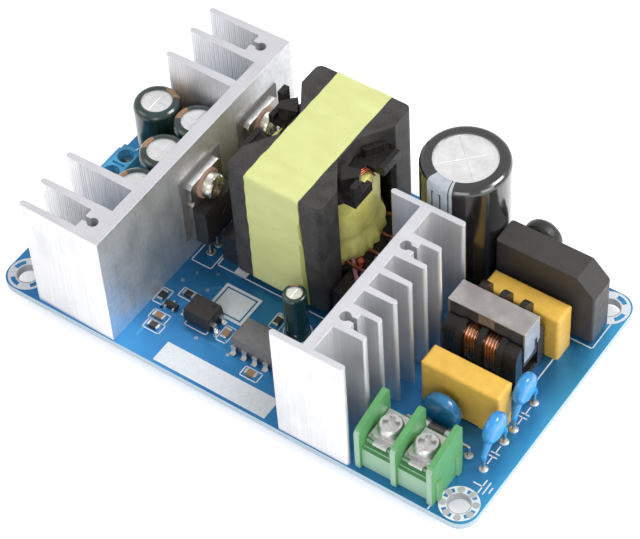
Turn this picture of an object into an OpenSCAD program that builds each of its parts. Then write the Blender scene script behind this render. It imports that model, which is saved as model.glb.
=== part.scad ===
// Open-frame mains power supply module on a blue circuit board.
// Frame: origin on the surface the lead tips stand on, under the board's centre.
// +X runs along the board to the mains input, +Y to the rear edge, +Z up.

/* [Board] */
// Circuit board thickness
board_t = 1.6; // [1:0.2:2.4]
// Radius of the board's corners
board_corner_r = 4; // [1:0.5:5]
// Diameter of the four mounting holes
mount_hole_d = 4.4; // [3:0.1:5]
// Mounting hole centres in from both edges
mount_hole_inset = 4.4; // [4:0.2:6]
// Reach of the lead tips below the board
lead_stick = 2.2; // [2:0.1:3.5]
// Clearance of a lead in its hole, on the diameter
lead_clearance = 0.2; // [0.1:0.05:0.4]

/* [Layout] */
// Left board edge to the fin tips of the output heat sink
out_margin = 10.2; // [9:0.1:14]
// Rectifiers to the transformer bobbin
device_clearance = 1.1; // [1:0.1:4]
// Transformer bobbin to the primary heat sink
bobbin_clearance = 2.6; // [1:0.1:5]
// Primary heat sink to the input parts
input_gap = 1.7; // [1.2:0.1:4]
// Input parts to the right board edge
in_margin = 2.5; // [2:0.1:5]
// Front board edge to the transformer core
core_front = 27.2; // [26:0.2:30]
// Transformer core to the rear board edge
core_margin = 4.8; // [3:0.2:8]
// Heat sink ends in from the board edges
hs_end_gap = 0.2; // [0.1:0.1:1]
// Free space between neighbouring parts
part_gap = 0.3; // [0.2:0.1:1]
// Primary heat sink to the bulk capacitor
bulk_gap = 2.6; // [1:0.1:4]
// Bulk capacitor to the rear board edge
bulk_margin = 1.6; // [0.5:0.1:4]
// Front board edge to the input terminal
terminal_inset = 1.1; // [0.5:0.1:2]
// Primary heat sink to the input terminal
terminal_gap = 0.9; // [0.5:0.1:2]
// Input terminal to the fuse
fuse_gap = 1.3; // [1:0.1:3]
// Varistor to the front film capacitor
x_cap_gap = 1.7; // [0.3:0.1:3]
// Front film capacitor to the choke
choke_gap = 4.2; // [1:0.1:6]
// Primary heat sink to the choke
choke_side_gap = 0.9; // [0.6:0.1:2]
// Rear film capacitor to the bridge rectifier
bridge_gap = 1.5; // [1:0.1:3]
// Bridge rectifier to the thermistor
thermistor_gap = 1.8; // [0.5:0.1:2]
// Thermistor to the rear board edge
rear_margin = 2.4; // [1:0.1:5]

/* [Output heat sink] */
// Height of the extrusion above the board
out_hs_h = 29; // [26:0.5:34]
// Depth from the device face to the fin tips
out_hs_depth = 19.4; // [17:0.1:24]
// Thickness of the web behind the rectifiers
out_web_t = 2.8; // [2.4:0.1:3.2]
// Thickness of a fin at its root
out_fin_root = 1.9; // [1.6:0.1:2.4]
// Thickness of a fin at its round tip
out_fin_tip = 1.3; // [1:0.1:1.6]
// Spacing of the two inner fins at each end
out_fin_pitch = 8; // [7:0.1:8.6]
// Depth of the thick wall that holds a screw channel
out_boss_t = 6.4; // [5.6:0.1:7.4]
// Front board edge to the front rectifier
rectifier_front_y = 31.6; // [29:0.2:33]
// Spacing of the two rectifiers
rectifier_pitch = 19.5; // [17:0.5:21]

/* [Primary heat sink] */
// Height of the extrusion above the board
pri_hs_h = 29.6; // [26:0.2:34]
// Length along the board's width
pri_hs_len = 41.6; // [39:0.2:43]
// Depth over the end plates
pri_hs_depth = 16.5; // [15:0.1:20]
// Reach of the end plates past the transistor face
pri_left_reach = 6.9; // [6:0.1:8]
// Web thickness
pri_web_t = 2.4; // [2:0.1:3]
// Thickness of the end plates
pri_end_t = 1.3; // [1:0.1:2]
// Number of short fins between the end plates
pri_fin_count = 6; // [4:2:6]
// Spacing of the short fins
pri_fin_pitch = 5; // [4.6:0.1:5.4]
// Short fin thickness
pri_fin_t = 1.5; // [1.2:0.1:1.8]
// Setback of the short fins from the end plates
pri_fin_setback = 0.4; // [0:0.1:2]
// Depth of the thick wall that holds a screw channel, past the web
pri_boss_t = 2.7; // [2.4:0.1:3.4]

/* [Screw channels] */
// Bore of a screw channel
key_d = 2.3; // [2:0.1:2.6]
// Width of the slot that opens a screw channel
key_slot = 1.1; // [0.8:0.1:1.4]
// Wall between a screw channel and its slotted face
key_wall = 1; // [0.8:0.1:1.4]
// Depth that the board screws reach into the channels
board_screw_reach = 6; // [4:0.5:10]

/* [Power devices] */
// Width of a tab and case
device_w = 10.2; // [9.8:0.1:10.8]
// Thickness from tab back to case front
device_t = 4.5; // [4.2:0.1:4.8]
// Metal tab thickness
tab_t = 1.3; // [1:0.1:1.5]
// Height of the case bottom above the board
case_z = 5.4; // [5:0.1:6.4]
// Plastic case height
case_h = 9.2; // [8.6:0.1:9.6]
// Height of the tab over the case
tab_over = 6.4; // [6:0.1:6.8]
// Tab hole below the top of the tab
tab_hole_drop = 2.9; // [2.7:0.1:3.1]
// Tab hole diameter
tab_hole_d = 3.9; // [3.8:0.1:4]
// Spacing of the leads
device_lead_pitch = 2.54; // [2.5:0.02:2.6]
// Lead width
device_lead_w = 0.8; // [0.6:0.1:0.9]
// Lead thickness
device_lead_t = 0.5; // [0.4:0.05:0.6]
// Insulating sheet thickness
pad_t = 0.3; // [0.2:0.05:0.5]
// Overhang of the insulating sheet round the device
pad_over = 1.5; // [1:0.1:2]
// Bush flange diameter
bush_d = 6.6; // [6:0.1:7]
// Bush flange thickness
bush_t = 0.8; // [0.6:0.1:1]
// Diameter of the device screws
screw_d = 3; // [2.5:0.1:3]
// Head diameter of the device screws
screw_head_d = 5.6; // [5:0.1:6]
// Head height of the device screws
screw_head_h = 2; // [1.6:0.1:2.2]

/* [Transformer] */
// Core length, across the board
core_l = 32; // [30:0.5:35]
// Core width
core_w = 22; // [21:0.5:23]
// Core height
core_h = 30.3; // [28:0.1:33]
// Height of the core over the board
core_lift = 2; // [1.5:0.1:3]
// Thickness of the core's top and bottom plates
core_plate_t = 4.5; // [4:0.1:5]
// Centre post diameter
core_post_d = 13.4; // [12.4:0.1:14]
// Winding window diameter
core_window_d = 27.5; // [26.5:0.1:28]
// Width of the waist in the core's plates
core_waist_w = 12.9; // [12:0.1:14]
// Length of the straight part of the waist
core_waist_l = 6; // [5:0.1:7]
// Length of each leg's straight side
core_leg_side = 6; // [5:0.1:7]
// Radius of the core's upright corners
core_corner_r = 1.4; // [0.5:0.1:2]
// Width of the tape band round the core
tape_w = 12.6; // [10:0.1:14]
// Tape band thickness
tape_t = 0.25; // [0.2:0.05:0.4]
// Wall of the bobbin's tube and flanges
bobbin_wall = 1.1; // [0.9:0.1:1.3]
// Clearance between the bobbin and the core
bobbin_fit = 0.25; // [0.2:0.05:0.4]
// Reach of the pin rails past the core
rail_reach = 4.5; // [4.2:0.1:5.5]
// Outer diameter of the taped winding
winding_d = 23; // [22:0.2:26]
// Number of pins on each rail
pin_count = 6; // [4:1:6]
// Spacing of the pins
pin_pitch = 5.08; // [4:0.02:5.08]
// Diameter of a transformer or choke pin
pin_d = 0.8; // [0.6:0.1:1]
// Diameter of the winding's lead-out wires
wire_d = 0.8; // [0.6:0.1:1]
// Outside diameter of the sleeves on the lead-out wires
wire_sleeve_d = 1.6; // [1.4:0.1:1.8]

/* [Capacitors] */
// Bulk capacitor diameter
bulk_d = 18; // [16:0.5:19]
// Bulk capacitor height
bulk_h = 32.4; // [25:0.2:36]
// Lead spacing of the bulk capacitor
bulk_pitch = 7.5; // [5:0.5:10]
// Output capacitor diameter
out_cap_d = 9.8; // [9:0.1:10]
// Output capacitor height
out_cap_h = 21; // [16:0.5:25]
// Offset of the middle output capacitor from its row
out_cap_stagger = 1; // [0:0.1:2]
// Lead spacing of an output capacitor
out_cap_pitch = 5; // [3.5:0.5:5]
// Small supply capacitor diameter
supply_cap_d = 5; // [4:0.1:6]
// Small supply capacitor height
supply_cap_h = 12.4; // [10:0.2:15]
// Lead spacing of the small supply capacitor
supply_cap_pitch = 2; // [1.5:0.1:2.5]
// Thickness of the shrink sleeves
sleeve_t = 0.25; // [0.2:0.05:0.3]
// Bare share of the can's top inside the rolled sleeve edge
sleeve_mouth = 0.66; // [0.6:0.02:0.8]
// Share of the bulk capacitor left open by its sleeve
bulk_mouth = 0.72; // [0.6:0.02:0.8]
// Can's shoulder radius
shoulder_r = 1.3; // [0.6:0.1:1.6]
// Film capacitor length
x_cap_l = 17.4; // [16:0.1:18]
// Film capacitor thickness
x_cap_t = 5.2; // [5:0.1:7]
// Film capacitor height
x_cap_h = 11.7; // [10:0.1:13]
// Lead spacing of the film capacitors
x_cap_pitch = 15; // [12.5:0.5:15]
// Start of the film capacitors past the bridge rectifier's end
x_cap_inset = 1; // [0:0.1:2]

/* [Disc parts] */
// Ceramic disc diameter
disc_d = 6.6; // [6:0.1:9]
// Ceramic disc thickness
y_cap_t = 2.4; // [2:0.1:4]
// Height of a ceramic disc's edge above the board
disc_lift = 5.6; // [2:0.1:7]
// Lead spacing of the ceramic discs
y_cap_pitch = 7.4; // [5:0.1:7.5]
// Front board edge to the first ceramic disc
y_cap_front = 17.2; // [17:0.1:19]
// Spacing of the two ceramic discs
y_cap_spacing = 10.8; // [10:0.1:13]
// Varistor diameter
varistor_d = 8.2; // [7:0.1:9.4]
// Varistor thickness
varistor_t = 2.8; // [2.4:0.1:5]
// Height of the varistor's edge above the board
varistor_lift = 0.5; // [0.5:0.1:4]
// Thermistor diameter
thermistor_d = 8.2; // [7:0.1:13]
// Thermistor thickness
thermistor_t = 4.2; // [3.5:0.1:5]
// Height of the thermistor's edge above the board
thermistor_lift = 7.3; // [2:0.1:10]
// Left end of the bridge rectifier to the thermistor
thermistor_x = 4.6; // [4:0.1:12]
// Lead spacing of the varistor and the thermistor
disc_pitch = 5; // [4:0.1:5.5]
// Diameter of the round leads
lead_d = 0.7; // [0.5:0.05:0.8]

/* [Bridge and fuse] */
// Bridge rectifier length
bridge_l = 22.2; // [20:0.2:24]
// Bridge rectifier thickness
bridge_t = 6.2; // [4:0.1:7]
// Height of the bridge rectifier's top above the board
bridge_h = 18; // [15:0.2:20]
// Chamfer that marks the positive end
bridge_chamfer = 4; // [3:0.1:5]
// Lead spacing of the bridge rectifier
bridge_pitch = 5.08; // [3.8:0.02:5.08]
// Fuse diameter
fuse_d = 3.2; // [2.6:0.1:3.6]
// Length of the fuse over its end caps
fuse_l = 7.4; // [6:0.1:9]
// Fuse end cap length
fuse_cap_l = 1.9; // [1.5:0.1:2.4]
// Lead spacing of the fuse
fuse_pitch = 13.6; // [12:0.1:14]

/* [Choke] */
// Choke's core length
choke_l = 16.4; // [15.4:0.1:18]
// Width over the winding flanges
choke_w = 12; // [11:0.1:14]
// Width of the core legs
choke_leg_w = 4.8; // [4.4:0.1:5.2]
// Core leg height
choke_leg_h = 3.4; // [3:0.1:4.4]
// Length of each core end
choke_yoke = 3; // [2.6:0.1:3.4]
// Height of the wound leg's middle above the board
choke_axis_z = 7.3; // [7.2:0.1:9]
// Thickness of the copper on the wound leg
choke_copper = 2.1; // [1:0.1:2.3]
// Wall of the choke's bobbin tube
choke_wall = 0.6; // [0.5:0.1:0.8]
// Winding flange thickness
choke_flange_t = 1.4; // [1:0.1:1.6]
// Tinplate clip thickness
clip_t = 0.35; // [0.25:0.05:0.5]

/* [Input terminal] */
// Spacing of the two screws
terminal_pitch = 8; // [7.62:0.02:9]
// Block depth
terminal_depth = 10.6; // [10:0.1:12]
// Divider thickness
divider_t = 1.2; // [1:0.1:1.6]
// Height of a divider at the front
divider_front_h = 11.4; // [11:0.1:13]
// Height of a divider at the rear
divider_rear_h = 13.4; // [12:0.1:15]
// Front wall height
terminal_front_h = 5.9; // [5:0.1:6.2]
// Height of the seat under the contacts
terminal_seat_z = 6.9; // [6.5:0.1:7.2]
// Contact thickness
contact_t = 0.8; // [0.6:0.1:1]
// Side of a square clamp plate
clamp_w = 5.6; // [5:0.1:6]
// Clamp plate thickness
clamp_t = 0.9; // [0.7:0.1:1.2]
// Thread diameter of the clamp screws
clamp_screw_d = 3.2; // [3:0.1:3.5]
// Head diameter of the clamp screws
clamp_head_d = 5.2; // [4.8:0.1:5.6]
// Head height of the clamp screws
clamp_head_h = 1.8; // [1.4:0.1:2]

/* [Output terminal] */
// Left board edge to the terminal
out_term_inset = 4.1; // [3:0.1:5]
// Block depth
out_term_depth = 8; // [7.6:0.1:9]
// Block height
out_term_h = 10; // [9.6:0.1:11]
// Spacing of the two screws
out_term_pitch = 5; // [5:0.02:5.2]
// Diameter of the screw holes in the top
out_term_hole_d = 3.6; // [3.4:0.1:3.8]

/* [Control parts] */
// Output heat sink face to the optocoupler
opto_x = 11.9; // [11.4:0.1:13]
// Output heat sink face to the control circuit
ic_x = 25.7; // [25:0.1:27]
// Front board edge to the optocoupler and the control circuit
control_y = 14.2; // [13.6:0.1:14.6]
// Output heat sink face to the supply capacitor
supply_cap_x = 29.5; // [29.4:0.1:31]
// Control circuit's case length
ic_l = 9.6; // [9:0.1:10]
// Control circuit's case width
ic_w = 6.3; // [6:0.1:6.6]
// Control circuit's case height
ic_h = 3.3; // [3:0.1:3.6]
// Length of the optocoupler's case between its leads
opto_l = 6.5; // [6:0.1:6.8]
// Optocoupler's case width
opto_w = 4.6; // [4.2:0.1:5]
// Optocoupler's case height
opto_h = 3.5; // [3.2:0.1:3.8]
// Spacing of the control parts' leads
control_pitch = 2.54; // [2.4:0.02:2.54]
// Chip part length
chip_l = 2.6; // [2:0.1:3.2]
// Chip part width
chip_w = 1.3; // [1:0.1:1.6]

/* [Hidden] */
$fn = 48;
board_top = lead_stick + board_t;
input_l = max(bridge_l, x_cap_inset + x_cap_l + part_gap + y_cap_t);
device_stack = pad_t + device_t + device_clearance;
board_l = out_margin + out_hs_depth + device_stack + 2 * rail_reach + core_w + bobbin_clearance
  + pri_hs_depth + input_gap + input_l + in_margin;
fuse_row = terminal_inset + terminal_depth + fuse_gap;
varistor_row = fuse_row + fuse_d + part_gap;
x_front_row = varistor_row + varistor_t + x_cap_gap;
choke_row = x_front_row + x_cap_t + choke_gap;
x_rear_row = choke_row + choke_w + part_gap;
bridge_row = x_rear_row + x_cap_t + bridge_gap;
thermistor_row = bridge_row + bridge_t + thermistor_gap;
bulk_row = hs_end_gap + pri_hs_len + bulk_gap;
board_w = max(
  thermistor_row + thermistor_t + rear_margin,
  bulk_row + bulk_d + bulk_margin,
  core_front + core_l + core_margin
);

// Places measured from the left and front board edges
function from_left(d) = d - board_l / 2;
function from_front(d) = d - board_w / 2;

out_face_x = from_left(out_margin + out_hs_depth);
core_x = out_face_x + device_stack + rail_reach + core_w / 2;
core_y = from_front(core_front + core_l / 2);
pri_x0 = core_x + core_w / 2 + rail_reach + bobbin_clearance;
pri_face_x = pri_x0 + pri_left_reach;
pri_x1 = pri_x0 + pri_hs_depth;
pri_y = from_front(hs_end_gap + pri_hs_len / 2);
in_x0 = pri_x1 + input_gap;

// Output heat sink profile
out_hs_len = board_w - 2 * hs_end_gap;
out_cap_step = out_cap_d + part_gap;
out_bay_w = 3 * out_cap_d + 4 * part_gap;
out_fin_inner_y = out_bay_w / 2 + out_fin_root / 2;
out_fin_mid_y = out_fin_inner_y + out_fin_pitch;
out_fin_end_y = out_hs_len / 2 - out_fin_root / 2;
out_fins = [out_fin_inner_y, out_fin_mid_y, out_fin_end_y];
out_key_y = (out_fin_mid_y + out_fin_end_y) / 2;
out_key_x = out_face_x - out_boss_t + key_wall + key_d / 2;
rectifiers = [for (i = [0, 1]) from_front(rectifier_front_y + i * rectifier_pitch)];

// Primary heat sink profile
pri_fins = [for (i = [0 : pri_fin_count - 1]) (i - (pri_fin_count - 1) / 2) * pri_fin_pitch];
pri_key_dy = (pri_fin_count / 2 - 1) * pri_fin_pitch;
pri_key_x = pri_face_x + pri_web_t + pri_boss_t - key_wall - key_d / 2;
switch_y = pri_y - pri_fin_pitch;
key_points = [
  [out_key_x, -out_key_y],
  [out_key_x, out_key_y],
  [pri_key_x, pri_y - pri_key_dy],
  [pri_key_x, pri_y + pri_key_dy]
];

// Fit of round parts in round holes, on the diameter
bore_fit = 0.1;
// Overlap that joins two shapes of one solid
join = 0.1;

// Power device
device_top_z = case_z + case_h + tab_over;
device_screw_z = device_top_z - tab_hole_drop;
device_lead_x = tab_t + 1.2;
device_lead_hole_d = norm([device_lead_w, device_lead_t]) + lead_clearance;
tab_corner = 0.8;
pad_z = case_z;
pad_h = case_h + tab_over + pad_over;

// Board screws
board_screw_head_d = 5;
board_screw_head_h = lead_stick - 0.4;
board_screw_hole_d = key_d + 0.6;

// Transformer
core_top_z = core_lift + core_h;
window_z0 = core_lift + core_plate_t;
window_h = core_h - 2 * core_plate_t;
flange_r = core_window_d / 2 - bobbin_fit;
flange_ear_w = 15.6;
tube_in_r = core_post_d / 2 + bobbin_fit;
tube_out_r = tube_in_r + bobbin_wall;
rail_w = rail_reach - 2 * bobbin_fit;
rail_l = (pin_count - 1) * pin_pitch + 3;
rail_x1 = core_w / 2 + rail_reach;
pin_x = rail_x1 - rail_w / 2 - 0.4;
pin_depth = 3;
wire_x = rail_x1 - wire_sleeve_d / 2;
winding_h = window_h - 2 * bobbin_wall;
winding_foot_r = flange_r - 0.9;
wire_turn_z = window_z0 + bobbin_wall + winding_h * 0.06;
wire_ys = [for (y = [-1.5, -0.5, 0.5, 1.5]) y * pin_pitch];
guide_h = core_plate_t - 0.6;
guide_t = 1.2;
guide_x = core_w / 2 + 1.4;

// Choke
choke_x = pri_x1 + choke_side_gap + clip_t + choke_l / 2;
choke_y = from_front(choke_row + choke_w / 2);
choke_window = choke_l - 2 * choke_yoke;
choke_flange_x = choke_window / 2 - choke_flange_t / 2;
choke_tube_w = choke_leg_w + 2 * (choke_wall + bore_fit);
choke_tube_h = choke_leg_h + 2 * (choke_wall + bore_fit);
choke_upper_z = choke_axis_z + choke_tube_h / 2 + choke_copper + 0.6;
choke_top_z = choke_upper_z + choke_leg_h;
choke_lower_z = choke_axis_z - choke_leg_h / 2;
choke_base_t = 1.6;
choke_pin_y = choke_w / 2 - 1.2;

// Input terminal
terminal_l = 2 * terminal_pitch + divider_t;
terminal_x0 = pri_x1 + terminal_gap;
terminal_y0 = from_front(terminal_inset);
terminal_screw_y = terminal_depth / 2 + 0.4;
terminal_screws = [for (i = [0, 1]) divider_t / 2 + (i + 0.5) * terminal_pitch];
contact_w = terminal_pitch - divider_t - 0.4;
contact_tail_y = terminal_depth - 1.4;
contact_tail_w = 1.2;
clamp_z = terminal_seat_z + contact_t;
clamp_head_z = clamp_z + clamp_t;

// Output terminal
out_term_l = 2 * out_term_pitch + 0.2;
out_term_x0 = from_left(out_term_inset);
out_term_y = out_cap_step - out_cap_d / 2 - 2 * part_gap - out_term_l / 2;
out_term_screw_x = out_term_depth / 2;
cage_w = out_term_pitch - 1.4;
cage_l = out_term_depth - 3.4;
cage_h = 4.8;
cage_wall = 0.5;
cage_z = 1.4;
cage_tail_w = 0.9;
out_term_screw_d = 2.4;

// Places of the capacitors
gull_reach = 1.3;
supply_cap_y = control_y + ic_w / 2 + gull_reach + part_gap + supply_cap_d / 2;
bulk_x = in_x0 - part_gap - bulk_d / 2;
bulk_y = from_front(bulk_row + bulk_d / 2);
out_cap_x = out_face_x - out_web_t - 2 * part_gap - out_cap_d / 2;
out_caps = [
  [out_cap_x, -out_cap_step],
  [out_cap_x - out_cap_stagger, 0],
  [out_cap_x, out_cap_step],
  [out_cap_x - out_cap_step, out_cap_step]
];
supply_cap = [out_face_x + supply_cap_x, from_front(supply_cap_y)];
x_cap_x = in_x0 + x_cap_inset + x_cap_l / 2;
x_cap_front_y = from_front(x_front_row + x_cap_t / 2);
x_cap_rear_y = from_front(x_rear_row + x_cap_t / 2);

// Places of the disc parts, the bridge and the fuse
y_cap_x = in_x0 + x_cap_inset + x_cap_l + part_gap + y_cap_t / 2;
y_caps = [for (i = [0, 1]) from_front(y_cap_front + i * y_cap_spacing)];
varistor = [in_x0 + 7.9, from_front(varistor_row + varistor_t / 2)];
thermistor_at = [in_x0 + thermistor_x, from_front(thermistor_row + thermistor_t / 2)];
bridge_x = in_x0 + bridge_l / 2;
bridge_y = from_front(bridge_row + bridge_t / 2);
bridge_lift = 1;
bridge_lead_w = 1.2;
bridge_lead_t = 0.8;
fuse = [in_x0 + 9.1, from_front(fuse_row + fuse_d / 2)];
fuse_z = fuse_d / 2 + 1;
fuse_lead_d = 0.7;

// Small control parts, from the output heat sink face and the front board edge
chip_h = 0.6;
chip_end = 0.45;
chip_resistors_at = [[1.4, 14.5, 90], [4.5, 7.4, 0], [5.8, 17.5, 0], [24.8, 21.5, 90]];
chip_capacitors_at = [[4, 9.9, 0], [17.9, 13.4, 90], [27.8, 8, 0]];
sot_at = [4.6, 13.3];
package_lift = 0.2;
gull_t = 0.25;
sot_reach = 0.6;

function pair_x(at, pitch) = [for (s = [-0.5, 0.5]) [at.x + s * pitch, at.y]];
function pair_y(at, pitch) = [for (s = [-0.5, 0.5]) [at.x, at.y + s * pitch]];
function sized(points, d) = [for (p = points) [p.x, p.y, d]];

bulk_leads = pair_x([bulk_x, bulk_y], bulk_pitch);
out_cap_leads = [for (c = out_caps) each pair_x(c, out_cap_pitch)];
supply_cap_leads = pair_x(supply_cap, supply_cap_pitch);
x_cap_leads = [for (y = [x_cap_front_y, x_cap_rear_y]) each pair_x([x_cap_x, y], x_cap_pitch)];
y_cap_leads = [for (y = y_caps) each pair_y([y_cap_x, y], y_cap_pitch)];
varistor_leads = pair_x(varistor, disc_pitch);
thermistor_leads = pair_x(thermistor_at, disc_pitch);
fuse_leads = pair_x(fuse, fuse_pitch);
bridge_points = [for (i = [-1.5 : 1.5]) [bridge_x + i * bridge_pitch, bridge_y]];
rectifier_points = [
  for (y = rectifiers, i = [-1 : 1])
    [out_face_x + pad_t + device_lead_x, y + i * device_lead_pitch]
];
switch_points = [for (i = [-1 : 1]) [pri_face_x - pad_t - device_lead_x, switch_y + i * device_lead_pitch]];
transformer_points = [
  for (s = [-1, 1], i = [0 : pin_count - 1])
    [core_x + s * pin_x, core_y + (i - (pin_count - 1) / 2) * pin_pitch]
];
choke_points = [
  for (sx = [-1, 1], sy = [-1, 1])
    [choke_x + sx * choke_flange_x, choke_y + sy * choke_pin_y]
];
contact_points = [for (x = terminal_screws) [terminal_x0 + x, terminal_y0 + contact_tail_y]];
cage_points = [
  for (s = [-0.5, 0.5])
    [out_term_x0 + out_term_screw_x, out_term_y + s * out_term_pitch]
];

// Every lead that passes through the board, with its greatest width
lead_points = concat(
  sized(bulk_leads, lead_d),
  sized(out_cap_leads, lead_d),
  sized(supply_cap_leads, lead_d),
  sized(x_cap_leads, lead_d),
  sized(y_cap_leads, lead_d),
  sized(varistor_leads, lead_d),
  sized(thermistor_leads, lead_d),
  sized(fuse_leads, fuse_lead_d),
  sized(bridge_points, norm([bridge_lead_w, bridge_lead_t])),
  sized(rectifier_points, norm([device_lead_w, device_lead_t])),
  sized(switch_points, norm([device_lead_w, device_lead_t])),
  sized(transformer_points, pin_d),
  sized(choke_points, pin_d),
  sized(contact_points, norm([contact_tail_w, contact_t])),
  sized(cage_points, norm([cage_tail_w, cage_tail_w]))
);

// Shared shapes

// Points along an arc
function arc(centre, r, a0, a1, n) = [
  for (i = [0 : n]) centre + r * [cos(a0 + (a1 - a0) * i / n), sin(a0 + (a1 - a0) * i / n)]
];

// Rounded rectangle centred on the origin
module rounded_rect(size, r) {
  square([size.x - 2 * r, size.y], center = true);
  square([size.x, size.y - 2 * r], center = true);
  for (sx = [-1, 1], sy = [-1, 1])
    translate([sx * (size.x / 2 - r), sy * (size.y / 2 - r)])
      circle(r = r);
}

// Lifts parts from the reference surface to the board's top face
module on_board() {
  translate([0, 0, board_top])
    children();
}

// Outline in the XZ plane, extruded along Y and centred on it
module along_y(depth) {
  translate([0, depth / 2, 0])
    rotate([90, 0, 0])
      linear_extrude(depth)
        children();
}

// Outline in the YZ plane, extruded along X from the origin
module along_x(depth) {
  rotate([90, 0, 90])
    linear_extrude(depth)
      children();
}

// Round lead from below the board up to a height over it
module round_lead(at, d, z1) {
  translate([at.x, at.y, 0])
    cylinder(d = d, h = board_top + z1);
}

// Flat lead from below the board up to a height over it
module flat_lead(at, size, z1) {
  translate([at.x - size.x / 2, at.y - size.y / 2, 0])
    cube([size.x, size.y, board_top + z1]);
}

// Pan head screw with a cross recess, head up, its seat on z = 0
module cross_screw(head_d, head_h, shank_d, shank_l) {
  recess_w = head_d * 0.21;
  recess_l = head_d * 0.64;
  recess_z = head_h * 0.5;
  edge_h = head_h * 0.55;
  dome_r = head_d / 2 - head_h * 0.25;
  difference() {
    rotate_extrude()
      polygon(concat(
        [[0, -shank_l], [shank_d / 2 - 0.3, -shank_l], [shank_d / 2, 0.3 - shank_l]],
        [[shank_d / 2, 0], [head_d / 2, 0], [head_d / 2, edge_h]],
        [[head_d / 2 - head_h * 0.08, head_h * 0.8], [dome_r, head_h], [0, head_h]]
      ));
    for (turn = [0, 90])
      rotate(turn)
        translate([-recess_l / 2, -recess_w / 2, recess_z])
          cube([recess_l, recess_w, head_h]);
  }
}

// Board

module mount_points() {
  for (sx = [-1, 1], sy = [-1, 1])
    translate([sx * (board_l / 2 - mount_hole_inset), sy * (board_w / 2 - mount_hole_inset), 0])
      children();
}

module circuit_board() {
  color("steelblue")
    difference() {
      translate([0, 0, lead_stick])
        linear_extrude(board_t)
          rounded_rect([board_l, board_w], board_corner_r);
      mount_points()
        cylinder(d = mount_hole_d, h = board_top + join);
      for (p = lead_points)
        translate([p.x, p.y, 0])
          cylinder(d = p[2] + lead_clearance, h = board_top + join, $fn = 24);
      for (p = key_points)
        translate([p.x, p.y, 0])
          cylinder(d = board_screw_hole_d, h = board_top + join);
    }
}

// Solder fillets round the leads on the board's lower face
module solder_joints() {
  fillet_h = 1.1;
  spread = 0.62;
  color("silver")
    for (p = lead_points)
      translate([p.x, p.y, lead_stick])
        rotate_extrude($fn = 24) {
          r = (p[2] + lead_clearance) / 2;
          polygon([
            [r, 0], [r + spread, 0], [r + spread * 0.45, -fillet_h * 0.35],
            [r + spread * 0.2, -fillet_h], [r, -fillet_h]
          ]);
        }
}

// Heat sinks

// Plan of a fin from its root at x = 0 towards +X, with a round tip
module fin_plan(length, root, tip) {
  polygon([
    [-join, -root / 2], [length - tip / 2, -tip / 2], [length - tip / 2, tip / 2], [-join, root / 2]
  ]);
  translate([length - tip / 2, 0])
    circle(d = tip, $fn = 24);
}

// Plan of a screw channel whose slot opens towards +X
module key_plan() {
  circle(d = key_d);
  translate([0, -key_slot / 2])
    square([key_d / 2 + key_wall + join, key_slot]);
}

module output_heatsink_plan() {
  boss_w = out_fin_end_y - out_fin_mid_y;
  difference() {
    union() {
      translate([out_face_x - out_web_t, -out_hs_len / 2])
        square([out_web_t, out_hs_len]);
      for (side = [-1, 1], y = out_fins)
        translate([out_face_x - out_web_t, side * y])
          rotate(180)
            fin_plan(out_hs_depth - out_web_t, out_fin_root, out_fin_tip);
      for (side = [-1, 1])
        translate([out_face_x - out_boss_t, side * out_key_y - boss_w / 2])
          square([out_boss_t, boss_w]);
    }
    for (side = [-1, 1])
      translate([out_key_x, side * out_key_y])
        rotate(180)
          key_plan();
  }
}

module output_heatsink() {
  color("gainsboro")
    on_board()
      difference() {
        linear_extrude(out_hs_h)
          output_heatsink_plan();
        for (y = rectifiers)
          translate([out_face_x - out_web_t - join, y, device_screw_z])
            rotate([0, 90, 0])
              cylinder(d = screw_d + bore_fit, h = out_web_t + 2 * join);
      }
}

module primary_heatsink_plan() {
  fin_x0 = pri_left_reach + pri_web_t;
  fin_l = pri_hs_depth - fin_x0 - pri_fin_setback;
  difference() {
    union() {
      translate([pri_left_reach, -pri_hs_len / 2])
        square([pri_web_t, pri_hs_len]);
      for (y = [-pri_hs_len / 2, pri_hs_len / 2 - pri_end_t]) {
        translate([pri_end_t / 2, y])
          square([pri_hs_depth - pri_end_t, pri_end_t]);
        for (x = [pri_end_t / 2, pri_hs_depth - pri_end_t / 2])
          translate([x, y + pri_end_t / 2])
            circle(d = pri_end_t, $fn = 24);
      }
      for (y = pri_fins)
        translate([fin_x0, y])
          fin_plan(fin_l, pri_fin_t, pri_fin_t * 0.8);
      for (side = [-1, 1])
        translate([fin_x0 - join, side * pri_key_dy - pri_fin_pitch / 2])
          square([pri_boss_t + join, pri_fin_pitch]);
    }
    for (side = [-1, 1])
      translate([pri_key_x - pri_x0, side * pri_key_dy])
        key_plan();
  }
}

module primary_heatsink() {
  color("gainsboro")
    on_board()
      difference() {
        translate([pri_x0, pri_y, 0])
          linear_extrude(pri_hs_h)
            primary_heatsink_plan();
        translate([pri_face_x - join, switch_y, device_screw_z])
          rotate([0, 90, 0])
            cylinder(d = screw_d + bore_fit, h = pri_web_t + 2 * join);
      }
}

// Self-tapping screws that hold the heat sinks from below
module board_screws() {
  color("silver")
    for (p = key_points)
      translate([p.x, p.y, lead_stick])
        rotate([180, 0, 0])
          cross_screw(
            board_screw_head_d, board_screw_head_h, key_d - bore_fit, board_t + board_screw_reach
          );
}

// Power devices, drawn with the tab's back on x = 0 and the case towards +X

module at_rectifier(i) {
  translate([out_face_x + pad_t, rectifiers[i], board_top])
    children();
}

module at_switch() {
  translate([pri_face_x - pad_t, switch_y, board_top])
    rotate(180)
      children();
}

module at_devices() {
  at_rectifier(0)
    children();
  at_rectifier(1)
    children();
  at_switch()
    children();
}

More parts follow.
